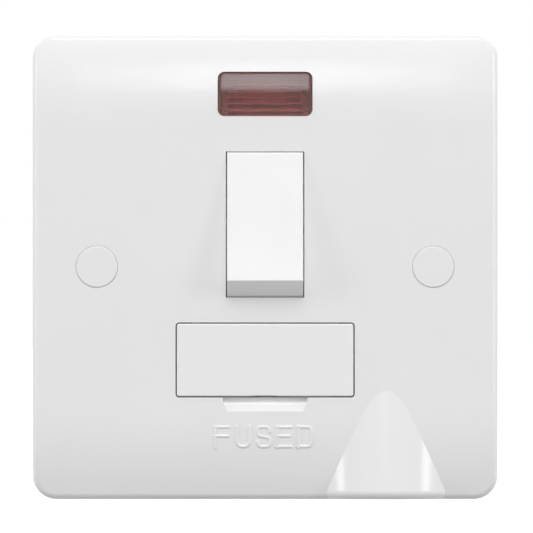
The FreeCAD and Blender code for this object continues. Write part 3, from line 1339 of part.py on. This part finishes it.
def screw_caps():
    pattern = new_body("screw_cap_pattern")
    item = front_sketch(pattern, "cap_disc", "disc")
    circle(item, "0", "0", "cap_width / 2")
    pad(pattern, item, "cap_disc", "disc_pad")
    item = front_sketch(pattern, "cap_disc + cap_skirt", "skirt")
    circle(item, "0", "0", "screw_head / 2 + cap_gap")
    circle(item, "0", "0", "screw_head / 2 + cap_gap - cap_skirt")
    pad(pattern, item, "cap_skirt", "skirt_pad")
    spots = [(f"{side} * fixing_pitch / 2", FACE, "0") for side in SIDES]
    return group("screw_caps", pattern, spots)


def cord_clamp():
    body = new_body("cord_clamp")
    rear = "(clamp_thick - clamp_front)"
    item = front_sketch(body, rear, "bar")
    rounded_rectangle(item, f"{HOOD} - clamp_length / 2", f"{HOOD} + clamp_length / 2",
                      f"{CLAMP} - clamp_height / 2", f"{CLAMP} + clamp_height / 2",
                      "clamp_height / 3")
    pad(body, item, "clamp_thick", "bar_pad")
    item = top_sketch(body, CLAMP, "saddle")
    circle(item, HOOD, "-clamp_front - clamp_saddle + clamp_saddle_depth", "clamp_saddle")
    pocket(body, item, "clamp_height * 2", "saddle_cut", middle=True)
    item = front_sketch(body, rear, "holes")
    for side in SIDES:
        circle(item, f"{HOOD} + {side} * clamp_pitch / 2", CLAMP, "pilot_bore / 2 + seat_gap")
    pocket(body, item, "clamp_thick * 2", "hole", middle=True)
    return body


parts = [
    front_plate(),
    rear_housing(),
    rocker(),
    plunger("live_plunger", 1),
    plunger("neutral_plunger", -1),
    plunger_spring("live_spring", 1),
    plunger_spring("neutral_spring", -1),
    contact_bar("live_contact_bar", 1),
    contact_bar("neutral_contact_bar", -1),
    supply_strip("live_supply_strip", 1),
    supply_strip("neutral_supply_strip", -1),
    live_strip(),
    neutral_strip(),
    load_strip(),
    earth_strap(),
    fuse_clip("supply_fuse_clip", -1),
    fuse_clip("load_fuse_clip", 1),
    fuse_carrier(),
    fuse_tube(),
    fuse_caps(),
    neon_lens(),
    neon_lamp(),
    neon_resistor(),
    neon_leads(),
    terminal("live_supply_terminal", "block_outer", "block_centre"),
    terminal("neutral_supply_terminal", "-block_outer", "block_centre"),
    terminal("live_load_terminal", "block_outer", "-block_centre"),
    terminal("neutral_load_terminal", "-block_outer", "-block_centre"),
    terminal("supply_earth_terminal", "-block_inner", "block_centre"),
    terminal("load_earth_terminal", "block_inner", "block_centre"),
    cord_clamp(),
    screw_caps(),
    *screws(),
]
doc.recompute()

for item in doc.Objects:
    if "Invalid" in item.State or "Error" in item.State:
        raise RuntimeError(f"{item.Label} failed: {item.State}")
    if item.TypeId in ("PartDesign::Pocket", "PartDesign::SubtractivePipe"):
        if item.Shape.Volume > item.BaseFeature.Shape.Volume - 1e-6:
            raise RuntimeError(f"{item.Name} cuts nothing")
os.makedirs("parts", exist_ok=True)
for part in parts:
    shape = part.Shape
    if shape.isNull() or not shape.isValid() or not shape.Solids:
        raise RuntimeError(f"{part.Label} has no valid solid")
    shape.exportStep(os.path.join("parts", f"{part.Label}.step"))
    print(f"{part.Label}: {len(shape.Solids)} solids, {shape.Volume:.1f} mm3")
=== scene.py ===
import json
import math

import bmesh
import bpy
from mathutils import Matrix, Vector
from mathutils.bvhtree import BVHTree


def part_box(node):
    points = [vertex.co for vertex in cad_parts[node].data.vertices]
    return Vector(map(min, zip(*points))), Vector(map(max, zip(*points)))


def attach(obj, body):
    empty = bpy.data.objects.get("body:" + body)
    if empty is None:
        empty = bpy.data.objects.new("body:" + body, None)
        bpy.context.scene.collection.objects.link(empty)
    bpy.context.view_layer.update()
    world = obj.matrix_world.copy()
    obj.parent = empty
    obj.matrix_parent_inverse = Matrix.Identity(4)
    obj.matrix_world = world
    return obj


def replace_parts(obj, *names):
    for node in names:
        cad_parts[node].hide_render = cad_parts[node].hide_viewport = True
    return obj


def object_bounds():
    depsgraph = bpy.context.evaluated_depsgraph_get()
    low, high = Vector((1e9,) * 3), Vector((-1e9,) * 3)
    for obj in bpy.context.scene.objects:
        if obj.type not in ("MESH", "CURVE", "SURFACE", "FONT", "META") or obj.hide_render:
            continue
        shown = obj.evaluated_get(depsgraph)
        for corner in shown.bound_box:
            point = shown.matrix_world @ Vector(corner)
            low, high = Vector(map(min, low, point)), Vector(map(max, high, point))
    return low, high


# Looks for a switched fused spur unit: X to the user's right, Z up, the face towards -Y.
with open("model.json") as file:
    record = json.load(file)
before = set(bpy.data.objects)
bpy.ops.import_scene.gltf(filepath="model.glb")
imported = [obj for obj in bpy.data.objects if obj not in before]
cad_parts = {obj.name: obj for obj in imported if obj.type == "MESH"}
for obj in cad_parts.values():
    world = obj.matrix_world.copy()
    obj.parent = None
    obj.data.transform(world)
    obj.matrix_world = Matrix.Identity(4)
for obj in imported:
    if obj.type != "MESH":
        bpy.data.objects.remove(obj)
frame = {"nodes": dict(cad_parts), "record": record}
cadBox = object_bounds()
mm = 0.001
weldWithin = 1e-6  # points closer than this are one point


def srgb(code):
    # Linear colour from a hex code, with full alpha.
    shares = [int(code[i:i + 2], 16) / 255 for i in (1, 3, 5)]
    linear = [share / 12.92 if share <= 0.04045 else ((share + 0.055) / 1.055) ** 2.4 for share in shares]
    return linear + [1.0]


def addNode(tree, kind, settings=None, links=None):
    # One node: settings go to its sockets or fields, links are {input: output socket}.
    node = tree.nodes.new(kind)
    for name, value in (settings or {}).items():
        if isinstance(name, int) or name in node.inputs:
            node.inputs[name].default_value = value
        else:
            setattr(node, name, value)
    for name, source in (links or {}).items():
        tree.links.new(source, node.inputs[name])
    return node


def newMaterial(name):
    # An empty material with its output and the object's own coordinates.
    material = bpy.data.materials.new(name)
    material.use_nodes = True
    tree = material.node_tree
    tree.nodes.clear()
    output = addNode(tree, "ShaderNodeOutputMaterial")
    place = addNode(tree, "ShaderNodeTexCoord")
    return material, tree, output, place.outputs["Object"]


# What the finishes share: the detail of their noise, how far their roughness strays from its middle,
# and how strongly the relief of metals and clear pieces shows.
noise = {"plain": 1.0, "smooth": 2.0, "coarse": 3.0, "fine": 4.0, "plasticSpread": 0.15,
         "metalSpread": 0.3, "metalRelief": 0.3, "clearRelief": 0.2}


def moulded(name, look):
    # Pressed plastic: a faint cloudiness in the colour and the slight waviness of a polished tool.
    material, tree, output, place = newMaterial(name)
    cloud = addNode(tree, "ShaderNodeTexNoise",
                    {"Scale": 1 / look["cloudSize"], "Detail": noise["coarse"]}, {"Vector": place})
    tint = addNode(tree, "ShaderNodeMix", {"data_type": "RGBA", 6: srgb(look["colour"]),
                                           7: srgb(look["cloudColour"])}, {0: cloud.outputs["Fac"]})
    wave = addNode(tree, "ShaderNodeTexNoise",
                   {"Scale": 1 / look["waveSize"], "Detail": noise["smooth"]}, {"Vector": place})
    sheen = addNode(tree, "ShaderNodeMapRange",
                    {"To Min": look["roughness"] * (1 - noise["plasticSpread"]),
                     "To Max": look["roughness"] * (1 + noise["plasticSpread"])},
                    {"Value": cloud.outputs["Fac"]})
    relief = addNode(tree, "ShaderNodeBump",
                     {"Strength": look["waveStrength"], "Distance": look["waveHeight"]},
                     {"Height": wave.outputs["Fac"]})
    shader = addNode(tree, "ShaderNodeBsdfPrincipled", {"IOR": look["ior"]},
                     {"Base Color": tint.outputs[2], "Roughness": sheen.outputs[0],
                      "Normal": relief.outputs[0]})
    tree.links.new(shader.outputs[0], output.inputs["Surface"])
    return material


def rolledMetal(name, look):
    # Sheet, wire or turned stock: fine streaks along the working direction and a little tarnish.
    material, tree, output, place = newMaterial(name)
    stretched = addNode(tree, "ShaderNodeMapping", {"Scale": look["streaks"]}, {"Vector": place})
    streak = addNode(tree, "ShaderNodeTexNoise",
                     {"Scale": 1 / look["grainSize"], "Detail": noise["fine"]},
                     {"Vector": stretched.outputs[0]})
    patch = addNode(tree, "ShaderNodeTexNoise",
                    {"Scale": 1 / look["patchSize"], "Detail": noise["coarse"]}, {"Vector": place})
    tint = addNode(tree, "ShaderNodeMix", {"data_type": "RGBA", 6: srgb(look["colour"]),
                                           7: srgb(look["tarnish"])}, {0: patch.outputs["Fac"]})
    sheen = addNode(tree, "ShaderNodeMapRange",
                    {"To Min": look["roughness"] * (1 - noise["metalSpread"]),
                     "To Max": look["roughness"] * (1 + noise["metalSpread"])},
                    {"Value": streak.outputs["Fac"]})
    relief = addNode(tree, "ShaderNodeBump",
                     {"Strength": noise["metalRelief"], "Distance": look["grainHeight"]},
                     {"Height": streak.outputs["Fac"]})
    shader = addNode(tree, "ShaderNodeBsdfPrincipled", {"Metallic": 1.0},
                     {"Base Color": tint.outputs[2], "Roughness": sheen.outputs[0],
                      "Normal": relief.outputs[0]})
    tree.links.new(shader.outputs[0], output.inputs["Surface"])
    return material


def clear(name, look):
    # Transparent acrylic or glass, with its colour in the body of the piece.
    material, tree, output, place = newMaterial(name)
    flow = addNode(tree, "ShaderNodeTexNoise",
                   {"Scale": 1 / look["flowSize"], "Detail": noise["plain"]}, {"Vector": place})
    relief = addNode(tree, "ShaderNodeBump",
                     {"Strength": noise["clearRelief"], "Distance": look["flowHeight"]},
                     {"Height": flow.outputs["Fac"]})
    shader = addNode(tree, "ShaderNodeBsdfPrincipled",
                     {"Base Color": srgb(look["colour"]), "Transmission Weight": look["transmission"],
                      "IOR": look["ior"], "Roughness": look["roughness"]},
                     {"Normal": relief.outputs[0]})
    tree.links.new(shader.outputs[0], output.inputs["Surface"])
    return material


finishes = {
    # Urea-formaldehyde, pressed in a polished tool: hard, neutral white and glossy.
    "pressedUrea": {"colour": "#F4F4F4", "cloudColour": "#F0F0F0", "cloudSize": 14 * mm,
                    "waveSize": 2.5 * mm, "waveStrength": 0.10, "waveHeight": 0.02 * mm,
                    "roughness": 0.17, "ior": 1.55},
    # The same plastic in the smaller moving mouldings, a touch brighter and less glossy.
    "switchUrea": {"colour": "#F7F7F7", "cloudColour": "#F4F4F4", "cloudSize": 9 * mm,
                   "waveSize": 2.0 * mm, "waveStrength": 0.08, "waveHeight": 0.015 * mm,
                   "roughness": 0.24, "ior": 1.55},
    # Nylon base from a spark-eroded tool: satin, slightly creamy.
    "sparkedNylon": {"colour": "#DEDCD4", "cloudColour": "#D6D4CC", "cloudSize": 8 * mm,
                     "waveSize": 0.25 * mm, "waveStrength": 0.45, "waveHeight": 0.02 * mm,
                     "roughness": 0.46, "ior": 1.53},
    # Lacquer on the resistor's body.
    "resistorLacquer": {"colour": "#B89A70", "cloudColour": "#A98A60", "cloudSize": 1.5 * mm,
                        "waveSize": 0.6 * mm, "waveStrength": 0.3, "waveHeight": 0.03 * mm,
                        "roughness": 0.32, "ior": 1.50},
    # Soft PVC sleeve on the lamp's leads.
    "leadSleeve": {"colour": "#C9C9C6", "cloudColour": "#BEBEBB", "cloudSize": 4 * mm,
                   "waveSize": 0.5 * mm, "waveStrength": 0.3, "waveHeight": 0.02 * mm,
                   "roughness": 0.42, "ior": 1.53},
    # Fired steatite tube of the cartridge fuse, slightly grainy.
    "firedCeramic": {"colour": "#E9E5DA", "cloudColour": "#DDD8CB", "cloudSize": 2.5 * mm,
                     "waveSize": 0.2 * mm, "waveStrength": 0.4, "waveHeight": 0.02 * mm,
                     "roughness": 0.38, "ior": 1.60},
}
metals = {
    # Stamped brass sheet, bright with a little tarnish.
    "stampedBrass": {"colour": "#D9B56A", "tarnish": "#C39C52", "streaks": (1.0, 1.0, 0.15),
                     "grainSize": 0.3 * mm, "grainHeight": 0.004 * mm, "patchSize": 3 * mm,
                     "roughness": 0.28},
    # Drawn brass block, sawn and drilled.
    "drawnBrass": {"colour": "#CFAE66", "tarnish": "#B8934C", "streaks": (1.0, 1.0, 0.1),
                   "grainSize": 0.35 * mm, "grainHeight": 0.006 * mm, "patchSize": 4 * mm,
                   "roughness": 0.34},
    # Zinc plate on steel screws, passivated to a cool grey.
    "zincPlate": {"colour": "#C9CBCC", "tarnish": "#B3B6B9", "streaks": (1.0, 1.0, 1.0),
                  "grainSize": 0.4 * mm, "grainHeight": 0.003 * mm, "patchSize": 2.5 * mm,
                  "roughness": 0.30},
    # Drawn spring wire.
    "springWire": {"colour": "#B9BBBD", "tarnish": "#A3A5A8", "streaks": (1.0, 0.2, 1.0),
                   "grainSize": 0.2 * mm, "grainHeight": 0.002 * mm, "patchSize": 1.5 * mm,
                   "roughness": 0.25},
    # Nickel plate on the fuse's caps.
    "nickelPlate": {"colour": "#D8D4CA", "tarnish": "#C6C1B6", "streaks": (0.2, 1.0, 1.0),
                    "grainSize": 0.3 * mm, "grainHeight": 0.002 * mm, "patchSize": 3 * mm,
                    "roughness": 0.16},
}
clears = {
    # Red acrylic of the indicator's window, polished outside.
    "redAcrylic": {"colour": "#D2928E", "transmission": 1.0, "ior": 1.49, "roughness": 0.10,
                   "flowSize": 3 * mm, "flowHeight": 0.01 * mm},
    # Thin clear glass of the neon lamp.
    "lampGlass": {"colour": "#F6F2EC", "transmission": 1.0, "ior": 1.50, "roughness": 0.02,
                  "flowSize": 2 * mm, "flowHeight": 0.01 * mm},
}
made = {name: moulded(name, look) for name, look in finishes.items()}
made.update({name: rolledMetal(name, look) for name, look in metals.items()})
made.update({name: clear(name, look) for name, look in clears.items()})
slotFinish = {
    "plate_urea": "pressedUrea", "switch_urea": "switchUrea", "base_nylon": "sparkedNylon",
    "lens_tint": "redAcrylic", "lamp_glass": "lampGlass", "contact_brass": "stampedBrass",
    "terminal_brass": "drawnBrass", "spring_steel": "springWire", "zinc_steel": "zincPlate",
    "fuse_ceramic": "firedCeramic", "fuse_nickel": "nickelPlate", "resistor_coat": "resistorLacquer",
    "lead_pvc": "leadSleeve",
}
print("finishes made:", len(made))

slotOf = {entry["node"]: entry["material_slot"] for entry in frame["record"]["subparts"]}
for nodeName, node in frame["nodes"].items():
    for place in node.material_slots:
        place.material = made[slotFinish[slotOf[nodeName]]]
print("nodes dressed:", len(frame["nodes"]))


def finished(name, work, slotName):
    # A bmesh as a piece of the fixed body, with the slot's finish.
    mesh = bpy.data.meshes.new(name)
    work.to_mesh(mesh)
    work.free()
    piece = bpy.data.objects.new(name, mesh)
    bpy.context.scene.collection.objects.link(piece)
    mesh.materials.append(made[slotFinish[slotName]])
    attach(piece, "base")
    return piece


# The plain word moulded in relief under the fuse carrier. Each letter is a few strokes in a box one
# wide and one high. A round stroke is a smooth line that rounds the corners of its points. A stroke
# is a round bar of radius "stroke", and its middle lies "sunk" behind the face.
lettering = {"top": -28.35 * mm, "bottom": -32.6 * mm, "stroke": 0.37 * mm, "sunk": 0.17 * mm,
             "roundness": 5, "rayFrom": -50 * mm,
             "rings": (0, 0.02, 0.25, 0.5, 0.75, 0.98, 1),  # where a straight stroke follows the face
             "edges": {"F": (-9.34 * mm, -6.31 * mm), "U": (-5.43 * mm, -2.40 * mm),
                       "S": (-1.74 * mm, 1.24 * mm), "E": (1.85 * mm, 4.86 * mm),
                       "D": (5.56 * mm, 8.69 * mm)},
             "straight": {"F": [[(0, 0), (0, 1)], [(0, 1), (1, 1)], [(0, 0.54), (0.92, 0.54)]],
                          "E": [[(0, 0), (0, 1)], [(0, 1), (1, 1)], [(0, 0.54), (0.90, 0.54)],
                                [(0, 0), (1, 0)]],
                          "D": [[(0, 0), (0, 1)]]},
             "round": {"U": [[(0, 1), (0, 0.7), (0, 0), (1, 0), (1, 0.7), (1, 1)]],
                       "S": [[(0.96, 0.80), (0.92, 1), (0.5, 1), (0, 1), (0, 0.56), (0.5, 0.5),
                              (1, 0.44), (1, 0), (0.5, 0), (0.06, 0), (0.02, 0.20)]],
                       "D": [[(0, 1), (0.35, 1), (1, 1), (1, 0.5), (1, 0), (0.35, 0), (0, 0)]]}}


def strokeLine(curve, spots, smooth):
    # One stroke's middle line.
    line = curve.splines.new("NURBS" if smooth else "POLY")
    line.points.add(len(spots) - 1)
    for point, spot in zip(line.points, spots):
        point.co = (*spot, 1.0)
    if smooth:
        line.order_u = 3
        line.use_endpoint_u = True


def drawnWord(look):
    # All the strokes as tubes in the XZ plane.
    curve = bpy.data.curves.new("fused_word", "CURVE")
    curve.dimensions = "3D"
    curve.bevel_depth = look["stroke"]
    curve.bevel_resolution = look["roundness"]
    curve.use_fill_caps = True
    low, high = look["bottom"] + look["stroke"], look["top"] - look["stroke"]
    for kind in ("straight", "round"):
        for letter, runs in look[kind].items():
            left, right = look["edges"][letter]
            left, right = left + look["stroke"], right - look["stroke"]
            for run in runs:
                spots = [Vector((left + (right - left) * x, 0, low + (high - low) * z)) for x, z in run]
                ends = [(spots[0] - spots[1]).normalized(), (spots[-1] - spots[-2]).normalized()]
                spots[0] += ends[0] * look["stroke"]
                spots[-1] += ends[1] * look["stroke"]
                if kind == "straight":
                    spots = [spots[0].lerp(spots[1], share) for share in look["rings"]]
                strokeLine(curve, spots, kind == "round")
    holder = bpy.data.objects.new("fused_word", curve)
    bpy.context.scene.collection.objects.link(holder)
    bpy.context.view_layer.update()
    drawn = bpy.data.meshes.new_from_object(holder)
    bpy.data.objects.remove(holder)
    return drawn


def raisedWord(look):
    # The strokes laid on the plate's face and sunk into it a little.
    work = bmesh.new()
    work.from_mesh(drawnWord(look))
    bmesh.ops.remove_doubles(work, verts=work.verts, dist=weldWithin)
    bmesh.ops.recalc_face_normals(work, faces=work.faces)
    for flank in work.faces:
        flank.smooth = len(flank.verts) == 4  # the strokes' flat ends stay sharp
    plate = frame["nodes"]["front_plate"]
    facing = BVHTree.FromPolygons([v.co for v in plate.data.vertices],
                                  [p.vertices for p in plate.data.polygons])
    for vert in work.verts:
        start = Vector((vert.co.x, look["rayFrom"], vert.co.z))
        vert.co.y += facing.ray_cast(start, Vector((0, 1, 0)))[0].y + look["sunk"]
    return finished("fused_word", work, "plate_urea")


raisedWord(lettering)
print("word raised")


# Covers over the fixing screws: a disc with a rounded edge and a skirt, in a close lip of the plate.
covers = {"disc": 1.0 * mm, "skirt": 0.6 * mm, "skirtInside": 2.9 * mm, "skirtOutside": 3.5 * mm,
          "proud": 0.12 * mm, "edge": 0.30 * mm, "edgeSteps": 6, "around": 96,
          "lipGap": 0.03 * mm, "lipOutside": 3.97 * mm, "lipDepth": 0.6 * mm, "lipStand": 0.003 * mm}


def turned(outline, centres, steps):
    # Spins an outline of radius and depth about each centre.
    work = bmesh.new()
    for across in centres:
        ring = [work.verts.new((across + radius, depth, 0)) for radius, depth in outline]
        pairs = [(i, (i + 1) % len(ring)) for i in range(len(ring))]
        lines = [work.edges.new((ring[i], ring[j])) for i, j in pairs if outline[i][0] + outline[j][0] > 0]
        bmesh.ops.spin(work, geom=ring + lines, cent=(across, 0, 0), axis=(0, 1, 0), angle=math.tau,
                       steps=steps, use_merge=True)
    bmesh.ops.remove_doubles(work, verts=work.verts, dist=weldWithin)
    bmesh.ops.recalc_face_normals(work, faces=work.faces)
    return work


def screwCovers(look):
    low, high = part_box("screw_caps")
    radius, face = high.z, low.y
    centres = (low.x + radius, high.x - radius)
    front, back = face - look["proud"], face + look["disc"]
    tip = back + look["skirt"]
    inside, outside = look["skirtInside"], look["skirtOutside"]
    work = turned([(0, front), (radius, front), (radius, back), (outside, back), (outside, tip),
                   (inside, tip), (inside, back), (0, back)], centres, look["around"])
    rim = [e for e in work.edges if all(abs(v.co.y - front) < weldWithin for v in e.verts)
           and any(abs(f.normal.y) < 0.5 for f in e.link_faces)]  # where the disc meets its flank
    rounded = bmesh.ops.bevel(work, geom=rim, offset=look["edge"], segments=look["edgeSteps"],
                              affect="EDGES", profile=0.5, material=-1, clamp_overlap=True)["faces"]
    for flank in rounded:
        flank.smooth = True
    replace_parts(finished("screw_covers", work, "plate_urea"), "screw_caps")
    start, stand = radius + look["lipGap"], face - look["lipStand"]
    depth = face + look["lipDepth"]
    lip = turned([(start, stand), (look["lipOutside"], stand), (look["lipOutside"], depth), (start, depth)],
                 centres, look["around"])
    finished("cover_lips", lip, "plate_urea")


screwCovers(covers)
print("screw covers turned")


# The fixing screws with their thread: a sunk head, the captive neck, then M3.5 to a bevelled tip.
thread = {"neck": 1.45 * mm, "neckEnd": 7.5 * mm, "shank": 1.75 * mm, "root": 1.38 * mm,
          "pitch": 0.6 * mm,
          "profile": ((0, 0), (0.44, 1), (0.56, 1)),  # share of a turn, share of the ridge's height
          "tip": 0.4 * mm, "tipRadius": 1.0 * mm, "around": 36, "sharpAngle": math.radians(20),
          "weldWithin": 1e-7}


def threadRows(look, start, stop, twist):
    # Radius and depth along the screw where its ridge has turned by this share, faded at both ends.
    rows = []
    for turn in range(math.ceil((stop - start) / look["pitch"]) + 2):
        for share, rise in look["profile"]:
            depth = min(max(start + (turn - 1 + share + twist) * look["pitch"], start), stop)
            fade = min(1, (depth - start) / look["pitch"], (stop - depth) / look["pitch"])
            rows.append((look["root"] + (look["shank"] - look["root"]) * rise * fade, depth))
    return rows


def addScrew(work, look, across, head, face, end):
    # One screw, as columns of points round its axis.
    start, stop = face + look["neckEnd"], end - look["tip"]
    plain = [(head, face), (look["neck"], face + head - look["neck"]), (look["neck"], start)]
    columns = []
    for c in range(look["around"]):
        twist = c / look["around"]
        angle = math.tau * twist
        rows = plain + threadRows(look, start, stop, twist) + [(look["tipRadius"], end)]
        columns.append([work.verts.new((across + radius * math.cos(angle), depth, radius * math.sin(angle)))
                        for radius, depth in rows])
    last, first = len(columns[0]) - 1, len(plain)
    steps = len(look["profile"])
    climbed = [min(i + steps, last - 1) if first <= i < last else i for i in range(last + 1)]
    for column, beside in zip(columns, columns[1:] + columns[:1]):
        if beside is columns[0]:  # after a full turn the ridge has climbed by one pitch
            beside = [beside[i] for i in climbed]
        for i in range(last):
            corners = list(dict.fromkeys((column[i], column[i + 1], beside[i + 1], beside[i])))
            work.faces.new(corners).smooth = i > 1
    work.faces.new([column[0] for column in columns])
    work.faces.new([column[last] for column in columns])


def threadedScrews(look):
    low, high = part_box("fixing_screws")
    head = high.z
    work = bmesh.new()
    for across in (low.x + head, high.x - head):
        addScrew(work, look, across, head, low.y, high.y)
    bmesh.ops.remove_doubles(work, verts=work.verts, dist=look["weldWithin"])
    bmesh.ops.dissolve_degenerate(work, edges=work.edges, dist=look["weldWithin"])
    bmesh.ops.recalc_face_normals(work, faces=work.faces)
    for edge in work.edges:
        edge.smooth = edge.calc_face_angle(0) < look["sharpAngle"]
    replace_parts(finished("threaded_screws", work, "zinc_steel"), "fixing_screws")


threadedScrews(thread)
print("screws threaded")


# The studio: a light tent, a painted floor under the unit, two soft boxes and three strip lamps.
studio = {"cameraDistance": 0.90, "frameWidth": 95.5 * mm, "aimX": 0.25 * mm, "aimZ": 0.05 * mm,
          "facePlane": -9.5 * mm, "sensorWidth": 36.0, "farthest": 50.0,
          "floorDrop": 20 * mm, "floorRadius": 3.0, "floorSides": 96, "floorPaint": "#969696",
          "floorGlow": 0.9, "white": "#FFFFFF",
          "tentGlow": (1.15, 0.68, 0.45),  # what the tent sends from the sides, the front and above
          "lamps": {  # azimuth from straight ahead, elevation, distance, width, height and radiance
              "topBox": {"around": 0, "up": 48, "away": 1.0, "wide": 0.60, "high": 0.40, "glow": 3.7},
              "backBox": {"around": 180, "up": 25, "away": 1.0, "wide": 0.70, "high": 0.50, "glow": 2.5},
              "windowStrip": {"around": 0, "up": 21.5, "away": 1.1, "wide": 0.06, "high": 0.22,
                              "glow": 7.0},
              "leftStrip": {"around": -68, "up": 5, "away": 0.9, "wide": 0.18, "high": 0.7, "glow": 4.2},
              "rightStrip": {"around": 62, "up": 5, "away": 0.9, "wide": 0.20, "high": 0.7, "glow": 4.2}}}


def seen(tree):
    # 1 where the camera looks straight, or through gloss or glass, at the background.
    path = addNode(tree, "ShaderNodeLightPath")
    first = addNode(tree, "ShaderNodeMath", {"operation": "MAXIMUM"},
                    {0: path.outputs["Is Camera Ray"], 1: path.outputs["Is Glossy Ray"]})
    return addNode(tree, "ShaderNodeMath", {"operation": "MAXIMUM"},
                   {0: first.outputs[0], 1: path.outputs["Is Transmission Ray"]}).outputs[0]


def lightWorld(look):
    world = bpy.data.worlds.new("whiteRoom")
    world.use_nodes = True
    tree = world.node_tree
    tree.nodes.clear()
    # What the tent sends depends on the direction. The camera, gloss and glass see it plain white.
    way = addNode(tree, "ShaderNodeTexCoord").outputs["Generated"]
    square = addNode(tree, "ShaderNodeVectorMath", {"operation": "MULTIPLY"}, {0: way, 1: way})
    sent = addNode(tree, "ShaderNodeVectorMath", {"operation": "DOT_PRODUCT", 1: look["tentGlow"]},
                   {0: square.outputs[0]})
    glow = addNode(tree, "ShaderNodeBackground", {"Color": srgb(look["white"])},
                   {"Strength": sent.outputs["Value"]})
    white = addNode(tree, "ShaderNodeBackground", {"Color": srgb(look["white"]), "Strength": 1.0})
    both = addNode(tree, "ShaderNodeMixShader", {},
                   {0: seen(tree), 1: glow.outputs[0], 2: white.outputs[0]})
    addNode(tree, "ShaderNodeOutputWorld", {}, {"Surface": both.outputs[0]})
    bpy.context.scene.world = world


def softLamp(name, look):
    around, up = math.radians(look["around"]), math.radians(look["up"])
    place = look["away"] * Vector((math.sin(around) * math.cos(up), -math.cos(around) * math.cos(up),
                                   math.sin(up)))
    lamp = bpy.data.lights.new(name, "AREA")
    lamp.shape = "RECTANGLE"
    lamp.size, lamp.size_y = look["wide"], look["high"]
    lamp.energy = look["glow"] * math.pi * look["wide"] * look["high"]
    holder = bpy.data.objects.new(name, lamp)
    holder.location = place
    holder.rotation_euler = (-place).to_track_quat("-Z", "Y").to_euler()
    holder.visible_camera = False
    bpy.context.scene.collection.objects.link(holder)


def layFloor(look, underside):
    work = bmesh.new()
    bmesh.ops.create_circle(work, cap_ends=True, segments=look["floorSides"], radius=look["floorRadius"],
                            matrix=Matrix.Translation((0, 0, underside - look["floorDrop"])))
    mesh = bpy.data.meshes.new("floor")
    work.to_mesh(mesh)
    work.free()
    floor = bpy.data.objects.new("floor", mesh)
    bpy.context.scene.collection.objects.link(floor)
    material, tree, output, _ = newMaterial("paintedFloor")
    matt = addNode(tree, "ShaderNodeBsdfDiffuse", {"Color": srgb(look["floorPaint"])})
    glow = addNode(tree, "ShaderNodeEmission",
                   {"Color": srgb(look["white"]), "Strength": look["floorGlow"]})
    lit = addNode(tree, "ShaderNodeAddShader", {}, {0: matt.outputs[0], 1: glow.outputs[0]})
    both = addNode(tree, "ShaderNodeMixShader", {},
                   {0: seen(tree), 1: matt.outputs[0], 2: lit.outputs[0]})
    tree.links.new(both.outputs[0], output.inputs["Surface"])
    mesh.materials.append(material)


def aimCamera(look):
    lens = bpy.data.cameras.new("camera")
    lens.sensor_width = look["sensorWidth"]
    lens.lens = look["sensorWidth"] * look["cameraDistance"] / look["frameWidth"]
    lens.clip_end = look["farthest"]
    holder = bpy.data.objects.new("camera", lens)
    holder.location = (look["aimX"], look["facePlane"] - look["cameraDistance"], look["aimZ"])
    holder.rotation_euler = (math.radians(90), 0, 0)
    bpy.context.scene.collection.objects.link(holder)
    bpy.context.scene.camera = holder


lightWorld(studio)
for lampName, lampLook in studio["lamps"].items():
    softLamp(lampName, lampLook)
layFloor(studio, cadBox[0].z)
aimCamera(studio)
bpy.context.scene.view_settings.view_transform = "Standard"
print("studio lit")
